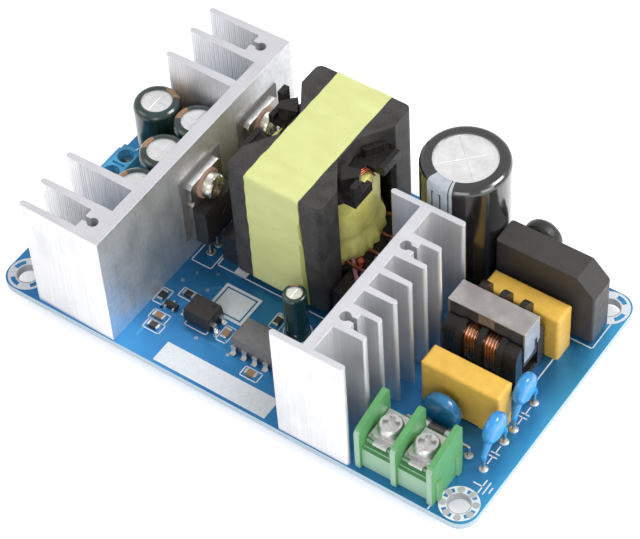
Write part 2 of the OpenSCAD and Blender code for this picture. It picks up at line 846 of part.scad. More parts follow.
module device_case() {
  draft = 0.35;
  top_slope = 1.4;
  case_z1 = case_z + case_h;
  pin_mark_d = 1.8;
  color("dimgray")
    difference() {
      along_y(device_w)
        polygon([
          [tab_t, case_z], [device_t - draft, case_z], [device_t, case_z + 3],
          [device_t, case_z1 - top_slope], [device_t - draft, case_z1], [tab_t, case_z1]
        ]);
      translate([device_t - 0.2, 0, case_z1 - top_slope - pin_mark_d])
        rotate([0, 90, 0])
          cylinder(d = pin_mark_d, h = 1);
    }
}

module device_frame() {
  notch_r = 0.7;
  wide_lead = 1.3;
  wide_h = 2.2;
  color("lightgray") {
    difference() {
      along_x(tab_t)
        difference() {
          polygon([
            [-device_w / 2, case_z], [device_w / 2, case_z],
            [device_w / 2, device_top_z - tab_corner], [device_w / 2 - tab_corner, device_top_z],
            [tab_corner - device_w / 2, device_top_z], [-device_w / 2, device_top_z - tab_corner]
          ]);
          for (side = [-1, 1])
            translate([side * device_w / 2, case_z + case_h + 1.4])
              circle(r = notch_r, $fn = 24);
        }
      translate([-join, 0, device_screw_z])
        rotate([0, 90, 0])
          cylinder(d = tab_hole_d, h = tab_t + 2 * join);
    }
    for (i = [-1 : 1])
      translate([device_lead_x, i * device_lead_pitch, 0]) {
        translate([0, 0, -board_top])
          flat_lead([0, 0], [device_lead_t, device_lead_w], case_z);
        translate([-device_lead_t / 2, -wide_lead / 2, case_z - wide_h])
          cube([device_lead_t, wide_lead, wide_h]);
      }
  }
}

module rectifier_front_case() {
  at_rectifier(0)
    device_case();
}

module rectifier_front_frame() {
  at_rectifier(0)
    device_frame();
}

module rectifier_rear_case() {
  at_rectifier(1)
    device_case();
}

module rectifier_rear_frame() {
  at_rectifier(1)
    device_frame();
}

module switch_case() {
  at_switch()
    device_case();
}

module switch_frame() {
  at_switch()
    device_frame();
}

// Insulating sheets between the tabs and the heat sinks
module insulating_pads() {
  sheet_w = device_w + 2 * pad_over;
  color("lightslategray")
    at_devices()
      difference() {
        translate([-pad_t, -sheet_w / 2, pad_z])
          cube([pad_t, sheet_w, pad_h]);
        translate([-pad_t - join, 0, device_screw_z])
          rotate([0, 90, 0])
            cylinder(d = tab_hole_d, h = pad_t + 2 * join);
      }
}

// Shouldered bushes that keep the screws off the tabs
module insulating_bushes() {
  sleeve_r = (tab_hole_d - bore_fit) / 2;
  bore_r = (screw_d + bore_fit) / 2;
  color("rosybrown")
    at_devices()
      translate([0, 0, device_screw_z])
        rotate([0, 90, 0])
          rotate_extrude()
            polygon([
              [bore_r, join], [sleeve_r, join], [sleeve_r, tab_t], [bush_d / 2, tab_t],
              [bush_d / 2, tab_t + bush_t * 0.7], [bush_d / 2 - 0.4, tab_t + bush_t],
              [bore_r, tab_t + bush_t]
            ]);
}

module device_screws() {
  thread_l = tab_t + bush_t + pad_t + min(out_web_t, pri_web_t) - 0.2;
  color("silver")
    at_devices()
      translate([tab_t + bush_t, 0, device_screw_z])
        rotate([0, 90, 0])
          cross_screw(screw_head_d, screw_head_h, screw_d, thread_l);
}

// Transformer, drawn round the core's axis on the board

module at_transformer() {
  translate([core_x, core_y, board_top])
    children();
}

// Bow-tie plan of the core's plates
module core_plan() {
  half_w = core_w / 2;
  half_l = core_l / 2;
  waist = core_waist_w / 2;
  leg_y = half_l - core_leg_side;
  polygon([
    for (sy = [1, -1], sx = [sy, -sy])
      each let (
        run = concat(
          arc([half_w, half_l] - core_corner_r * [1, 1], core_corner_r, 90, 0, 3),
          [[half_w, leg_y], [waist, core_waist_l / 2]]
        ),
        last = len(run) - 1
      )
        [for (i = [0 : last]) let (p = run[sx == sy ? last - i : i]) [sx * p.x, sy * p.y]]
  ]);
}

// Plan of the two outer legs, hollowed by the round winding window
module core_legs_plan() {
  difference() {
    core_plan();
    circle(d = core_window_d);
  }
}

// One half of the core, plate at the bottom and open side up
module core_half() {
  linear_extrude(core_plate_t)
    core_plan();
  linear_extrude(core_h / 2)
    core_legs_plan();
  cylinder(d = core_post_d, h = core_h / 2);
}

module core_lower() {
  color("dimgray")
    at_transformer()
      translate([0, 0, core_lift])
        core_half();
}

module core_upper() {
  color("dimgray")
    at_transformer()
      translate([0, 0, core_top_z])
        mirror([0, 0, 1])
          core_half();
}

// Tape band that binds the two core halves
module core_tape() {
  color("khaki")
    at_transformer()
      translate([-tape_w / 2, 0, core_lift + core_h / 2])
        along_x(tape_w)
          difference() {
            square([core_l + 2 * tape_t, core_h + 2 * tape_t], center = true);
            square([core_l, core_h], center = true);
          }
}

// Flange plan with ears that reach out through the core's open sides
module bobbin_flange_plan(ear_x) {
  circle(r = flange_r);
  square([2 * ear_x, flange_ear_w], center = true);
}

// Distance of a guide from the core's axis where it passes the slanting side of the core
function core_side(y) =
  core_waist_w / 2 + 0.7 + max(0, abs(y) - core_waist_l / 2) * (core_w - core_waist_w)
  / (core_l - 2 * core_leg_side - core_waist_l);

// Wire guides on the top flange, in the core's notches, the same after half a turn
module bobbin_guides() {
  z0 = window_z0 + window_h - join;
  near = core_waist_l / 2 + 0.4;
  far = near + 3.4;
  rib_t = 1.1;
  prong_w = 2 * guide_t;
  for (turn = [0, 180])
    rotate(turn)
      translate([0, 0, z0]) {
        linear_extrude(guide_h + join)
          polygon([
            [core_side(near), -near], [guide_x - 1, 1 - near], [guide_x - 0.2, -near - 0.8],
            [core_side(far), -far]
          ]);
        linear_extrude(guide_h * 0.6)
          polygon([
            [core_side(near), near], [core_side(near) + rib_t, near],
            [core_side(far) + rib_t, far], [core_side(far), far]
          ]);
        translate([guide_x, -flange_ear_w / 2, 0])
          cube([guide_t, prong_w, core_plate_t + join]);
        translate([guide_x, prong_w - flange_ear_w / 2, 0])
          cube([guide_t, flange_ear_w - prong_w, guide_t]);
      }
}

module transformer_bobbin() {
  flange_z1 = window_z0 + window_h;
  rail_z1 = window_z0 + bobbin_wall;
  groove_w = wire_sleeve_d + 2 * bore_fit;
  slot_x = tube_out_r + wire_sleeve_d;
  slot_w = 2.5 * wire_sleeve_d;
  color("dimgray")
    at_transformer() {
      difference() {
        union() {
          translate([0, 0, window_z0])
            cylinder(r = tube_out_r, h = window_h);
          translate([0, 0, window_z0])
            linear_extrude(bobbin_wall)
              bobbin_flange_plan(rail_x1 - rail_w / 2);
          translate([0, 0, flange_z1 - bobbin_wall])
            linear_extrude(bobbin_wall)
              bobbin_flange_plan(guide_x + guide_t);
          for (side = [-1, 1])
            translate([side * (rail_x1 - rail_w / 2) - rail_w / 2, -rail_l / 2, 0])
              cube([rail_w, rail_l, rail_z1]);
          bobbin_guides();
        }
        translate([0, 0, window_z0 - join])
          cylinder(r = tube_in_r, h = window_h + 2 * join);
        for (turn = [0, 180])
          rotate(turn)
            translate([slot_x, -slot_w / 2, flange_z1 - bobbin_wall - join])
              cube([guide_x, slot_w, bobbin_wall + guide_h]);
        for (side = [-1, 1], y = wire_ys)
          translate([side * (rail_x1 + join) - (side + 1) / 2 * (groove_w + join), y - groove_w / 2, -join])
            cube([groove_w + join, groove_w, rail_z1 + 2 * join]);
        for (p = transformer_points)
          translate([p.x - core_x, p.y - core_y, -join])
            cylinder(d = pin_d + bore_fit, h = pin_depth + join, $fn = 24);
      }
    }
}

// Taped winding: straight above, flared at the foot where the tape folds over the flange
module transformer_winding() {
  r = winding_d / 2;
  inner_r = tube_out_r + bore_fit;
  color("khaki")
    at_transformer()
      translate([0, 0, window_z0 + bobbin_wall])
        rotate_extrude()
          polygon([
            [inner_r, 0], [winding_foot_r, 0], [winding_foot_r, winding_h * 0.1], [r, winding_h * 0.26],
            [r, winding_h * 0.92], [r - 0.5, winding_h], [inner_r, winding_h]
          ]);
}

module transformer_pins() {
  color("silver")
    for (p = transformer_points)
      round_lead(p, pin_d, pin_depth - bore_fit);
}

// Lead-out wires: out of the winding, then down the grooves in the rails
module winding_wires() {
  color("peru")
    at_transformer()
      for (side = [-1, 1], y = wire_ys) {
        reach = sqrt(pow(winding_foot_r, 2) - pow(abs(y) - wire_d / 2, 2)) + bore_fit / 2;
        translate([side * wire_x, y, 0.4])
          cylinder(d = wire_d, h = wire_turn_z - 0.4, $fn = 24);
        translate([side * wire_x, y, wire_turn_z])
          sphere(d = wire_d, $fn = 24);
        translate([side * wire_x, y, wire_turn_z])
          rotate([0, -90 * side, 0])
            cylinder(d = wire_d, h = wire_x - reach, $fn = 24);
      }
}

// Sleeves on the upright runs of the lead-out wires
module winding_sleeves() {
  color("plum")
    at_transformer()
      for (side = [-1, 1], y = wire_ys)
        translate([side * wire_x, y, 1.2])
          difference() {
            cylinder(d = wire_sleeve_d, h = wire_turn_z - 2.2, $fn = 24);
            translate([0, 0, -join])
              cylinder(d = wire_d + bore_fit, h = wire_turn_z, $fn = 24);
          }
}

// Aluminium electrolytic capacitors, standing on z = 0

// Half section of the outer skin of a can, from the foot to the top's middle
function can_section(d, h, inset, mouth) =
  let (
    r = d / 2 - inset,
    bead_z = min(3.2, h * 0.16),
    bead = r * 0.07,
    edge = min(1, r * 0.12),
    shoulder = min(shoulder_r, 0.8 * (r - d / 2 * mouth))
  )
  concat(
    [[r - edge, inset], [r, edge + inset], [r, bead_z - 2 * bead], [r - bead, bead_z - bead * 0.6]],
    [[r - bead, bead_z + bead * 0.6], [r, bead_z + 2 * bead]],
    arc([r - shoulder, h - shoulder - inset], shoulder, 0, 90, 4)
  );

module capacitor_can(d, h, mouth) {
  inset = sleeve_t + bore_fit / 2;
  vent_w = 0.3;
  vent_l = d * mouth * 0.86;
  color("lightgray")
    difference() {
      rotate_extrude()
        polygon(concat([[0, inset]], can_section(d, h, inset, mouth), [[0, h - inset]]));
      for (turn = [0, 90])
        rotate(turn)
          translate([-vent_l / 2, -vent_w / 2, h - inset - 0.15])
            cube([vent_l, vent_w, 1]);
    }
}

// Shrink sleeve rolled over both ends of a can
module capacitor_sleeve(d, h, mouth, tint) {
  rim = d / 2 * mouth;
  outer = can_section(d, h, 0, mouth);
  inner = can_section(d, h, sleeve_t, mouth);
  last = len(inner) - 1;
  color(tint)
    rotate_extrude()
      polygon(concat(
        [[rim, 0]], outer, [[rim, h], [rim, h - sleeve_t]],
        [for (i = [0 : last]) inner[last - i]], [[rim, sleeve_t]]
      ));
}

module bulk_cap_can() {
  translate([bulk_x, bulk_y, board_top])
    capacitor_can(bulk_d, bulk_h, bulk_mouth);
}

module bulk_cap_sleeve() {
  translate([bulk_x, bulk_y, board_top])
    capacitor_sleeve(bulk_d, bulk_h, bulk_mouth, "dimgray");
}

module output_cap_cans() {
  for (c = out_caps)
    translate([c.x, c.y, board_top])
      capacitor_can(out_cap_d, out_cap_h, sleeve_mouth);
}

module output_cap_sleeves() {
  for (c = out_caps)
    translate([c.x, c.y, board_top])
      capacitor_sleeve(out_cap_d, out_cap_h, sleeve_mouth, "teal");
}

module supply_cap_can() {
  translate([supply_cap.x, supply_cap.y, board_top])
    capacitor_can(supply_cap_d, supply_cap_h, sleeve_mouth);
}

module supply_cap_sleeve() {
  translate([supply_cap.x, supply_cap.y, board_top])
    capacitor_sleeve(supply_cap_d, supply_cap_h, sleeve_mouth, "teal");
}

// Round leads of the capacitors and the disc parts
module capacitor_leads() {
  can_foot = sleeve_t + bore_fit / 2;
  color("silver") {
    for (p = concat(bulk_leads, out_cap_leads, supply_cap_leads))
      round_lead(p, lead_d, can_foot);
    for (p = x_cap_leads)
      round_lead(p, lead_d, 0);
    for (p = y_cap_leads)
      round_lead(p, lead_d, neck_z(disc_lift) + neck_socket - bore_fit);
    for (p = varistor_leads)
      round_lead(p, lead_d, neck_z(varistor_lift) + neck_socket - bore_fit);
    for (p = thermistor_leads)
      round_lead(p, lead_d, neck_z(thermistor_lift) + neck_socket - bore_fit);
  }
}

// Film capacitors: box cases with rounded edges and a moulded foot rim

module film_capacitor() {
  edge = 0.7;
  foot = 0.4;
  color("goldenrod")
    difference() {
      intersection() {
        linear_extrude(x_cap_h)
          rounded_rect([x_cap_l, x_cap_t], edge);
        along_y(x_cap_t)
          polygon(concat(
            [[-x_cap_l / 2, 0], [x_cap_l / 2, 0]],
            arc([x_cap_l / 2 - edge, x_cap_h - edge], edge, 0, 90, 4),
            arc([edge - x_cap_l / 2, x_cap_h - edge], edge, 90, 180, 4)
          ));
        translate([-x_cap_l / 2, 0, 0])
          along_x(x_cap_l)
            polygon(concat(
              [[-x_cap_t / 2, 0], [x_cap_t / 2, 0]],
              arc([x_cap_t / 2 - edge, x_cap_h - edge], edge, 0, 90, 4),
              arc([edge - x_cap_t / 2, x_cap_h - edge], edge, 90, 180, 4)
            ));
      }
      translate([-x_cap_l / 4, -x_cap_t / 2 - join, -join])
        cube([x_cap_l / 2, x_cap_t + 2 * join, foot + join]);
    }
}

module x_cap_front() {
  translate([x_cap_x, x_cap_front_y, board_top])
    film_capacitor();
}

module x_cap_rear() {
  translate([x_cap_x, x_cap_rear_y, board_top])
    film_capacitor();
}

// Dipped discs

// Height at which the coat of a disc ends on its leads
function neck_z(lift) = lift * 0.6;
// Depth of a lead's socket in its coated neck
neck_socket = 0.8;

// Coated neck from a lead at x = foot.x up into the disc
module lead_neck(foot, top, r1, r2) {
  run = top - foot - [0, neck_socket];
  translate([foot.x, 0, foot.y]) {
    cylinder(r = r1, h = neck_socket);
    translate([0, 0, neck_socket]) {
      sphere(r = r1);
      rotate([0, atan2(run.x, run.y), 0])
        cylinder(r1 = r1, r2 = r2, h = norm(run));
    }
  }
}

// Disc standing on edge, its faces towards +Y and -Y, with two coated necks for its leads
module dipped_disc(d, t, pitch, lift) {
  rim = t * 0.42;
  face = t / 2 - rim;
  neck_r = lead_d / 2 + 0.3;
  difference() {
    union() {
      translate([0, 0, lift + d / 2])
        rotate([90, 0, 0])
          rotate_extrude()
            polygon(concat(
              [[0, -t / 2], [d / 2 - rim, -t / 2]],
              arc([d / 2 - rim, -face], rim, -60, 0, 3),
              arc([d / 2 - rim, face], rim, 0, 60, 3),
              [[d / 2 - rim, t / 2], [0, t / 2]]
            ));
      for (side = [0, 1])
        mirror([side, 0, 0])
          lead_neck([pitch / 2, neck_z(lift)], [d * 0.24, lift + d * 0.32], neck_r, t * 0.36);
    }
    for (side = [-0.5, 0.5])
      translate([side * pitch, 0, 0])
        cylinder(d = lead_d + bore_fit, h = neck_z(lift) + neck_socket, $fn = 24);
  }
}

module y_cap_disc(y) {
  color("dodgerblue")
    translate([y_cap_x, y, board_top])
      rotate(90)
        dipped_disc(disc_d, y_cap_t, y_cap_pitch, disc_lift);
}

module y_cap_front() {
  y_cap_disc(y_caps[0]);
}

module y_cap_rear() {
  y_cap_disc(y_caps[1]);
}

module varistor() {
  color("royalblue")
    translate([varistor.x, varistor.y, board_top])
      dipped_disc(varistor_d, varistor_t, disc_pitch, varistor_lift);
}

module thermistor_disc() {
  color("dimgray")
    translate([thermistor_at.x, thermistor_at.y, board_top])
      dipped_disc(thermistor_d, thermistor_t, disc_pitch, thermistor_lift);
}

// Bridge rectifier

module bridge_body() {
  edge = 0.6;
  color("dimgray")
    translate([bridge_x, bridge_y, board_top])
      intersection() {
        along_y(bridge_t)
          polygon([
            [-bridge_l / 2, bridge_lift], [bridge_l / 2, bridge_lift],
            [bridge_l / 2, bridge_h - bridge_chamfer], [bridge_l / 2 - bridge_chamfer, bridge_h],
            [-bridge_l / 2, bridge_h]
          ]);
        linear_extrude(bridge_h)
          rounded_rect([bridge_l, bridge_t], edge);
      }
}

module bridge_leads() {
  color("silver")
    for (p = bridge_points)
      flat_lead(p, [bridge_lead_w, bridge_lead_t], bridge_lift);
}

// Fuse with axial leads

module at_fuse() {
  translate([fuse.x, fuse.y, board_top + fuse_z])
    children();
}

module fuse_tube() {
  tube_l = fuse_l - 2 * 0.4;
  color("dimgray")
    at_fuse()
      rotate([0, 90, 0])
        cylinder(d = fuse_d - 0.5 - bore_fit, h = tube_l, center = true);
}

module fuse_ends() {
  bend_r = fuse_lead_d / 2;
  color("silver")
    for (side = [-1, 1]) {
      at_fuse()
        rotate([0, 90 * side, 0]) {
          difference() {
            translate([0, 0, fuse_l / 2 - fuse_cap_l])
              cylinder(d = fuse_d, h = fuse_cap_l);
            cylinder(d = fuse_d - 0.5, h = fuse_l / 2 - 0.4);
          }
          translate([0, 0, fuse_l / 2 - join])
            cylinder(d = fuse_lead_d, h = fuse_pitch / 2 - fuse_l / 2 + join, $fn = 24);
        }
      at_fuse()
        translate([side * fuse_pitch / 2, 0, 0])
          sphere(r = bend_r, $fn = 24);
      round_lead([fuse.x + side * fuse_pitch / 2, fuse.y], fuse_lead_d, fuse_z);
    }
}

// Common-mode choke, drawn round its middle on the board

module at_choke() {
  translate([choke_x, choke_y, board_top])
    children();
}

// Two U-shaped core halves that meet in the middle of both legs
module choke_core() {
  color("dimgray")
    at_choke()
      for (side = [-1, 1])
        mirror([side < 0 ? 1 : 0, 0, 0])
          along_y(choke_leg_w)
            polygon([
              [0, choke_lower_z], [choke_l / 2, choke_lower_z], [choke_l / 2, choke_top_z],
              [0, choke_top_z], [0, choke_upper_z], [choke_window / 2, choke_upper_z],
              [choke_window / 2, choke_lower_z + choke_leg_h], [0, choke_lower_z + choke_leg_h]
            ]);
}

// Tinplate clip over the upper leg, with slotted ends and a tab at the front
module choke_clip() {
  end_z = choke_lower_z + choke_leg_h * 0.6;
  slot_w = 1;
  tab_w = 3.4;
  tab_h = 2.4;
  end_w = choke_leg_w + 2 * clip_t;
  color("lightgray")
    at_choke() {
      translate([-choke_l / 2 - clip_t, -end_w / 2, choke_top_z])
        cube([choke_l + 2 * clip_t, end_w, clip_t]);
      for (side = [-1, 1])
        translate([side * (choke_l + clip_t) / 2 - clip_t / 2, 0, 0])
          along_x(clip_t)
            difference() {
              polygon([
                [-end_w / 2, choke_top_z + clip_t], [end_w / 2, choke_top_z + clip_t],
                [end_w / 2, end_z + 2], [0, end_z], [-end_w / 2, end_z]
              ]);
              translate([end_w / 2 - 1.8, end_z - join])
                square([slot_w, choke_leg_h]);
            }
      translate([-tab_w / 2, -end_w / 2, choke_top_z - tab_h])
        cube([tab_w, clip_t, tab_h + join]);
    }
}

// Height of the bobbin's flanges in front, a little over the copper
choke_front_h = choke_axis_z + choke_tube_h / 2 + choke_copper + 1.2;
// Width between the bobbin's ears on both sides of the upper leg and its clip
choke_leg_gap = choke_leg_w + 2 * (clip_t + bore_fit);

// Flange outline in the YZ plane, low in front, with an ear behind the upper leg
module choke_flange_outline() {
  rear_h = choke_top_z + 0.6;
  difference() {
    union() {
      translate([0, choke_front_h / 2])
        rounded_rect([choke_w, choke_front_h], choke_w / 3);
      translate([choke_w / 4, rear_h / 2])
        rounded_rect([choke_w / 2, rear_h], 2.6);
    }
    translate([-choke_leg_gap / 2, choke_upper_z - 0.3])
      square([choke_leg_gap, choke_top_z]);
    translate([0, choke_axis_z])
      square([choke_leg_w + 2 * bore_fit, choke_leg_h + 2 * bore_fit], center = true);
  }
}

// Cheek outline in the YZ plane: walls on both sides of a yoke
module choke_cheek_outline() {
  cheek_w = choke_w - 1.4;
  cheek_h = choke_front_h - 0.5;
  difference() {
    translate([0, cheek_h / 2])
      rounded_rect([cheek_w, cheek_h], choke_w / 4);
    translate([-choke_leg_gap / 2, choke_base_t - join])
      square([choke_leg_gap, cheek_h]);
  }
}

module choke_bobbin() {
  tube_l = 2 * choke_flange_x;
  base_l = choke_l - 0.6;
  color("dimgray")
    at_choke()
      difference() {
        union() {
          for (i = [-1 : 1])
            translate([i * choke_flange_x - choke_flange_t / 2, 0, 0])
              along_x(choke_flange_t)
                choke_flange_outline();
          for (side = [0, 1])
            mirror([side, 0, 0])
              translate([choke_flange_x, 0, 0])
                along_x(choke_l / 2 - choke_flange_x)
                  choke_cheek_outline();
          translate([-tube_l / 2, 0, choke_axis_z])
            along_x(tube_l)
              difference() {
                square([choke_tube_w, choke_tube_h], center = true);
                square(
                  [choke_leg_w + 2 * bore_fit, choke_leg_h + 2 * bore_fit], center = true
                );
              }
          translate([-base_l / 2, -choke_w / 2, 0])
            cube([base_l, choke_w, choke_base_t]);
        }
        for (p = choke_points)
          translate([p.x - choke_x, p.y - choke_y, -join])
            cylinder(d = pin_d + bore_fit, h = choke_base_t + join, $fn = 24);
      }
}

// The two copper windings, one in each bay of the bobbin
module choke_windings() {
  bay = choke_flange_x - choke_flange_t;
  inner_w = choke_tube_w + 2 * bore_fit;
  inner_h = choke_tube_h + 2 * bore_fit;
  color("peru")
    at_choke()
      for (side = [-1, 1])
        translate([side * choke_flange_x / 2 - bay / 2, 0, choke_axis_z])
          along_x(bay)
            difference() {
              rounded_rect([inner_w + 2 * choke_copper, inner_h + 2 * choke_copper], 2.4);
              square([inner_w, inner_h], center = true);
            }
}

module choke_pins() {
  color("silver")
    for (p = choke_points)
      round_lead(p, pin_d, choke_base_t - bore_fit);
}

// Input terminal, drawn from its front left corner on the board

module at_input_terminal() {
  translate([terminal_x0, terminal_y0, board_top])
    children();
}

module divider_outline() {
  nose = 1.6;
  crown = 1;
  slope = atan2(divider_rear_h - divider_front_h, terminal_depth);
  polygon(concat(
    [[0, 0], [terminal_depth, 0]],
    arc([terminal_depth - crown, divider_rear_h - crown], crown, 0, 90 + slope, 4),
    arc([nose, divider_front_h - nose], nose, 90 + slope, 180, 4)
  ));
}

module input_block() {
  rib_w = 1.2;
  rib_proud = 0.5;
  rib_h = 6;
  panel_y = 0.8;
  panel_step = 0.5;
  ledge_y = 1.5;
  seat_y = 2.4;
  ribs = [1.6, terminal_depth - 2.2];
  tail_slot = [contact_tail_w + 0.4, contact_t + 0.4];
  color("mediumseagreen")
    at_input_terminal()
      difference() {
        union() {
          along_x(terminal_l)
            polygon([
              [panel_y, 0], [terminal_depth, 0], [terminal_depth, terminal_seat_z],
              [seat_y, terminal_seat_z], [seat_y, terminal_front_h], [ledge_y, terminal_front_h],
              [ledge_y, terminal_front_h - panel_step], [panel_y, terminal_front_h - panel_step]
            ]);
          for (i = [0 : 2])
            translate([i * terminal_pitch, 0, 0])
              along_x(divider_t)
                divider_outline();
          for (y = ribs)
            translate([terminal_l - join, y, 0])
              cube([rib_proud + join, rib_w, rib_h]);
        }
        for (y = ribs)
          translate([-join, y - bore_fit, -join])
            cube([rib_proud + bore_fit + join, rib_w + 2 * bore_fit, rib_h + bore_fit + join]);
        for (x = terminal_screws) {
          translate([x, terminal_screw_y, 1.5])
            cylinder(d = clamp_screw_d + bore_fit, h = terminal_seat_z);
          translate([x - tail_slot.x / 2, contact_tail_y - tail_slot.y / 2, -join])
            cube([tail_slot.x, tail_slot.y, terminal_seat_z + 2 * join]);
        }
      }
}

// Contact strips with a rolled front lip and a tail through the board
module input_contacts() {
  lip_w = 3;
  lip_y = 1.9;
  front_y = 2.6;
  color("silver")
    at_input_terminal()
      for (x = terminal_screws) {
        difference() {
          translate([x - contact_w / 2, front_y, terminal_seat_z])
            cube([contact_w, terminal_depth - front_y - 0.6, contact_t]);
          translate([x, terminal_screw_y, terminal_seat_z - join])
            cylinder(d = clamp_screw_d + bore_fit, h = contact_t + 2 * join);
        }
        translate([x - lip_w / 2, lip_y, terminal_seat_z + contact_t / 2])
          rotate([0, 90, 0])
            cylinder(d = contact_t, h = lip_w, $fn = 24);
        translate([x - lip_w / 2, lip_y, terminal_seat_z])
          cube([lip_w, front_y - lip_y + join, contact_t]);
        translate([x, contact_tail_y, -board_top])
          flat_lead([0, 0], [contact_tail_w, contact_t], terminal_seat_z + join);
      }
}

// Square clamp plates under the screw heads
module input_clamps() {
  color("lightgray")
    at_input_terminal()
      for (x = terminal_screws)
        translate([x, terminal_screw_y, clamp_z])
          difference() {
            linear_extrude(clamp_t)
              rounded_rect([clamp_w, clamp_w], 0.7);
            translate([0, 0, -join])
              cylinder(d = clamp_screw_d + bore_fit, h = clamp_t + 2 * join);
          }
}

module input_screws() {
  thread_l = clamp_head_z - 2;
  color("silver")
    at_input_terminal()
      for (x = terminal_screws)
        translate([x, terminal_screw_y, clamp_head_z])
          rotate(20)
            cross_screw(clamp_head_d, clamp_head_h, clamp_screw_d, thread_l);
}

// Output terminal, drawn from the middle of its wire side on the board

module at_output_terminal() {
  translate([out_term_x0, out_term_y, board_top])
    children();
}

module at_output_ways() {
  at_output_terminal()
    for (s = [-0.5, 0.5])
      translate([out_term_screw_x, s * out_term_pitch, 0])
        children();
}

module output_block() {
  cavity = [cage_l + 0.4, cage_w + 0.4, cage_h + 0.4];
  wire_way = [cage_l + 4, cage_w - 2 * cage_wall, cage_h - 2 * cage_wall];
  ridge_h = 1.6;
  ridge_w = 1.6;
  mark = [3, 0.5, 0.5];
  color("deepskyblue")
    difference() {
      at_output_terminal() {
        along_y(out_term_l)
          polygon([
            [0, 0], [out_term_depth, 0], [out_term_depth, out_term_h * 0.66],
            [out_term_depth - 1.6, out_term_h * 0.8], [out_term_depth - 1.9, out_term_h],
            [1.7, out_term_h], [0.6, out_term_h * 0.8], [0, out_term_h * 0.8]
          ]);
        translate([0, out_term_l / 2 - 0.5, 0])
          along_y(1)
            polygon([
              [out_term_depth - 1.9 - ridge_w, out_term_h - join],
              [out_term_depth - 1.9, out_term_h - join],
              [out_term_depth - 1.9, out_term_h + ridge_h]
            ]);
      }
      at_output_ways() {
        translate([-cavity.x / 2, -cavity.y / 2, cage_z])
          cube(cavity);
        translate([0, 0, cage_z])
          cylinder(d = out_term_hole_d, h = out_term_h);
        translate([-out_term_screw_x - join, -wire_way.y / 2, cage_z + cage_wall])
          cube([out_term_screw_x, wire_way.y, wire_way.z]);
        translate([-cage_tail_w, -cage_tail_w, -join])
          cube([2 * cage_tail_w, 2 * cage_tail_w, cage_z + join]);
      }
      at_output_terminal()
        translate([out_term_screw_x - mark.x / 2, -mark.y / 2, out_term_h - mark.z])
          cube([mark.x, mark.y, mark.z + join]);
    }
}

// Wire cages with a tail through the board
module output_cages() {
  color("silver")
    at_output_ways() {
      difference() {
        translate([-cage_l / 2, -cage_w / 2, cage_z])
          cube([cage_l, cage_w, cage_h]);
        translate([-cage_l / 2 - join, cage_wall - cage_w / 2, cage_z + cage_wall])
          cube([cage_l + 2 * join, cage_w - 2 * cage_wall, cage_h - 3 * cage_wall]);
        translate([0, 0, cage_z + cage_h / 2])
          cylinder(d = out_term_screw_d + bore_fit, h = cage_h);
      }
      translate([0, 0, -board_top])
        flat_lead([0, 0], [cage_tail_w, cage_tail_w], cage_z + join);
    }
}

// Slotted clamp screws of the output terminal
module output_screws() {
  head_d = out_term_hole_d - 0.3;
  head_z = cage_z + cage_h;
  slot = [head_d + 1, 0.7, 0.8];
  head_h = 1.8;
  color("silver")
    at_output_ways()
      difference() {
        union() {
          translate([0, 0, head_z])
            cylinder(d = head_d, h = head_h);
          translate([0, 0, cage_z + cage_h / 2])
            cylinder(d = out_term_screw_d, h = head_z - cage_z - cage_h / 2 + join);
        }
        translate([-slot.x / 2, -slot.y / 2, head_z + head_h - slot.z])
          cube([slot.x, slot.y, slot.z + join]);
      }
}

// Small control parts

module at_control(p) {
  translate([out_face_x + p.x, from_front(p.y), board_top])
    rotate(len(p) > 2 ? p[2] : 0)
      children();
}

// Moulded case with drafted sides, its length along X
module moulded_case(length, width, height) {
  draft = 0.25;
  mid = height * 0.45;
  translate([-length / 2, 0, package_lift])
    along_x(length)
      polygon([
        [draft - width / 2, 0], [width / 2 - draft, 0], [width / 2, mid],
        [width / 2 - draft, height], [draft - width / 2, height], [-width / 2, mid]
      ]);
}

module control_ic_case() {
  color("dimgray")
    at_control([ic_x, control_y])
      difference() {
        moulded_case(ic_l, ic_w, ic_h);
        translate([-ic_l / 2, 0, package_lift + ic_h - 0.3])
          cylinder(d = 1.6, h = 1);
      }
}

module optocoupler_case() {
  color("dimgray")
    at_control([opto_x, control_y])
      difference() {
        rotate(90)
          moulded_case(opto_w, opto_l, opto_h);
        translate([opto_w / 2 - 0.4, opto_w / 2 - 1.1, package_lift + opto_h - 0.2])
          cylinder(d = 0.9, h = 1);
      }
}

module transistor_case() {
  color("dimgray")
    at_control(sot_at)
      moulded_case(2.9, 1.3, 0.9);
}

// Gull-wing lead that leaves a case at y = 0 towards -Y
module gull_lead(width, shoulder_z, reach) {
  drop_y = reach * 0.3;
  translate([-width / 2, 0, 0])
    along_x(width)
      polygon([
        [0, shoulder_z], [-drop_y, shoulder_z], [-drop_y, 0], [-reach, 0], [-reach, gull_t],
        [-drop_y - gull_t, gull_t], [-drop_y - gull_t, shoulder_z + gull_t], [0, shoulder_z + gull_t]
      ]);
}

module package_leads() {
  ic_shoulder = package_lift + ic_h * 0.45 - gull_t / 2;
  opto_shoulder = package_lift + opto_h * 0.45 - gull_t / 2;
  color("silver") {
    at_control([ic_x, control_y])
      for (turn = [0, 180], i = [-1.5 : 1.5])
        rotate(turn)
          translate([i * control_pitch, -ic_w / 2, 0])
            gull_lead(1.2, ic_shoulder, gull_reach);
    at_control([opto_x, control_y])
      for (turn = [90, -90], i = [-0.5, 0.5])
        rotate(turn)
          translate([i * control_pitch, -opto_l / 2, 0])
            gull_lead(1, opto_shoulder, gull_reach);
    at_control(sot_at)
      for (lead = [[-0.95, 0], [0.95, 0], [0, 180]])
        rotate(lead[1])
          translate([lead[0], -0.65, 0])
            gull_lead(0.4, package_lift + 0.3, sot_reach);
  }
}

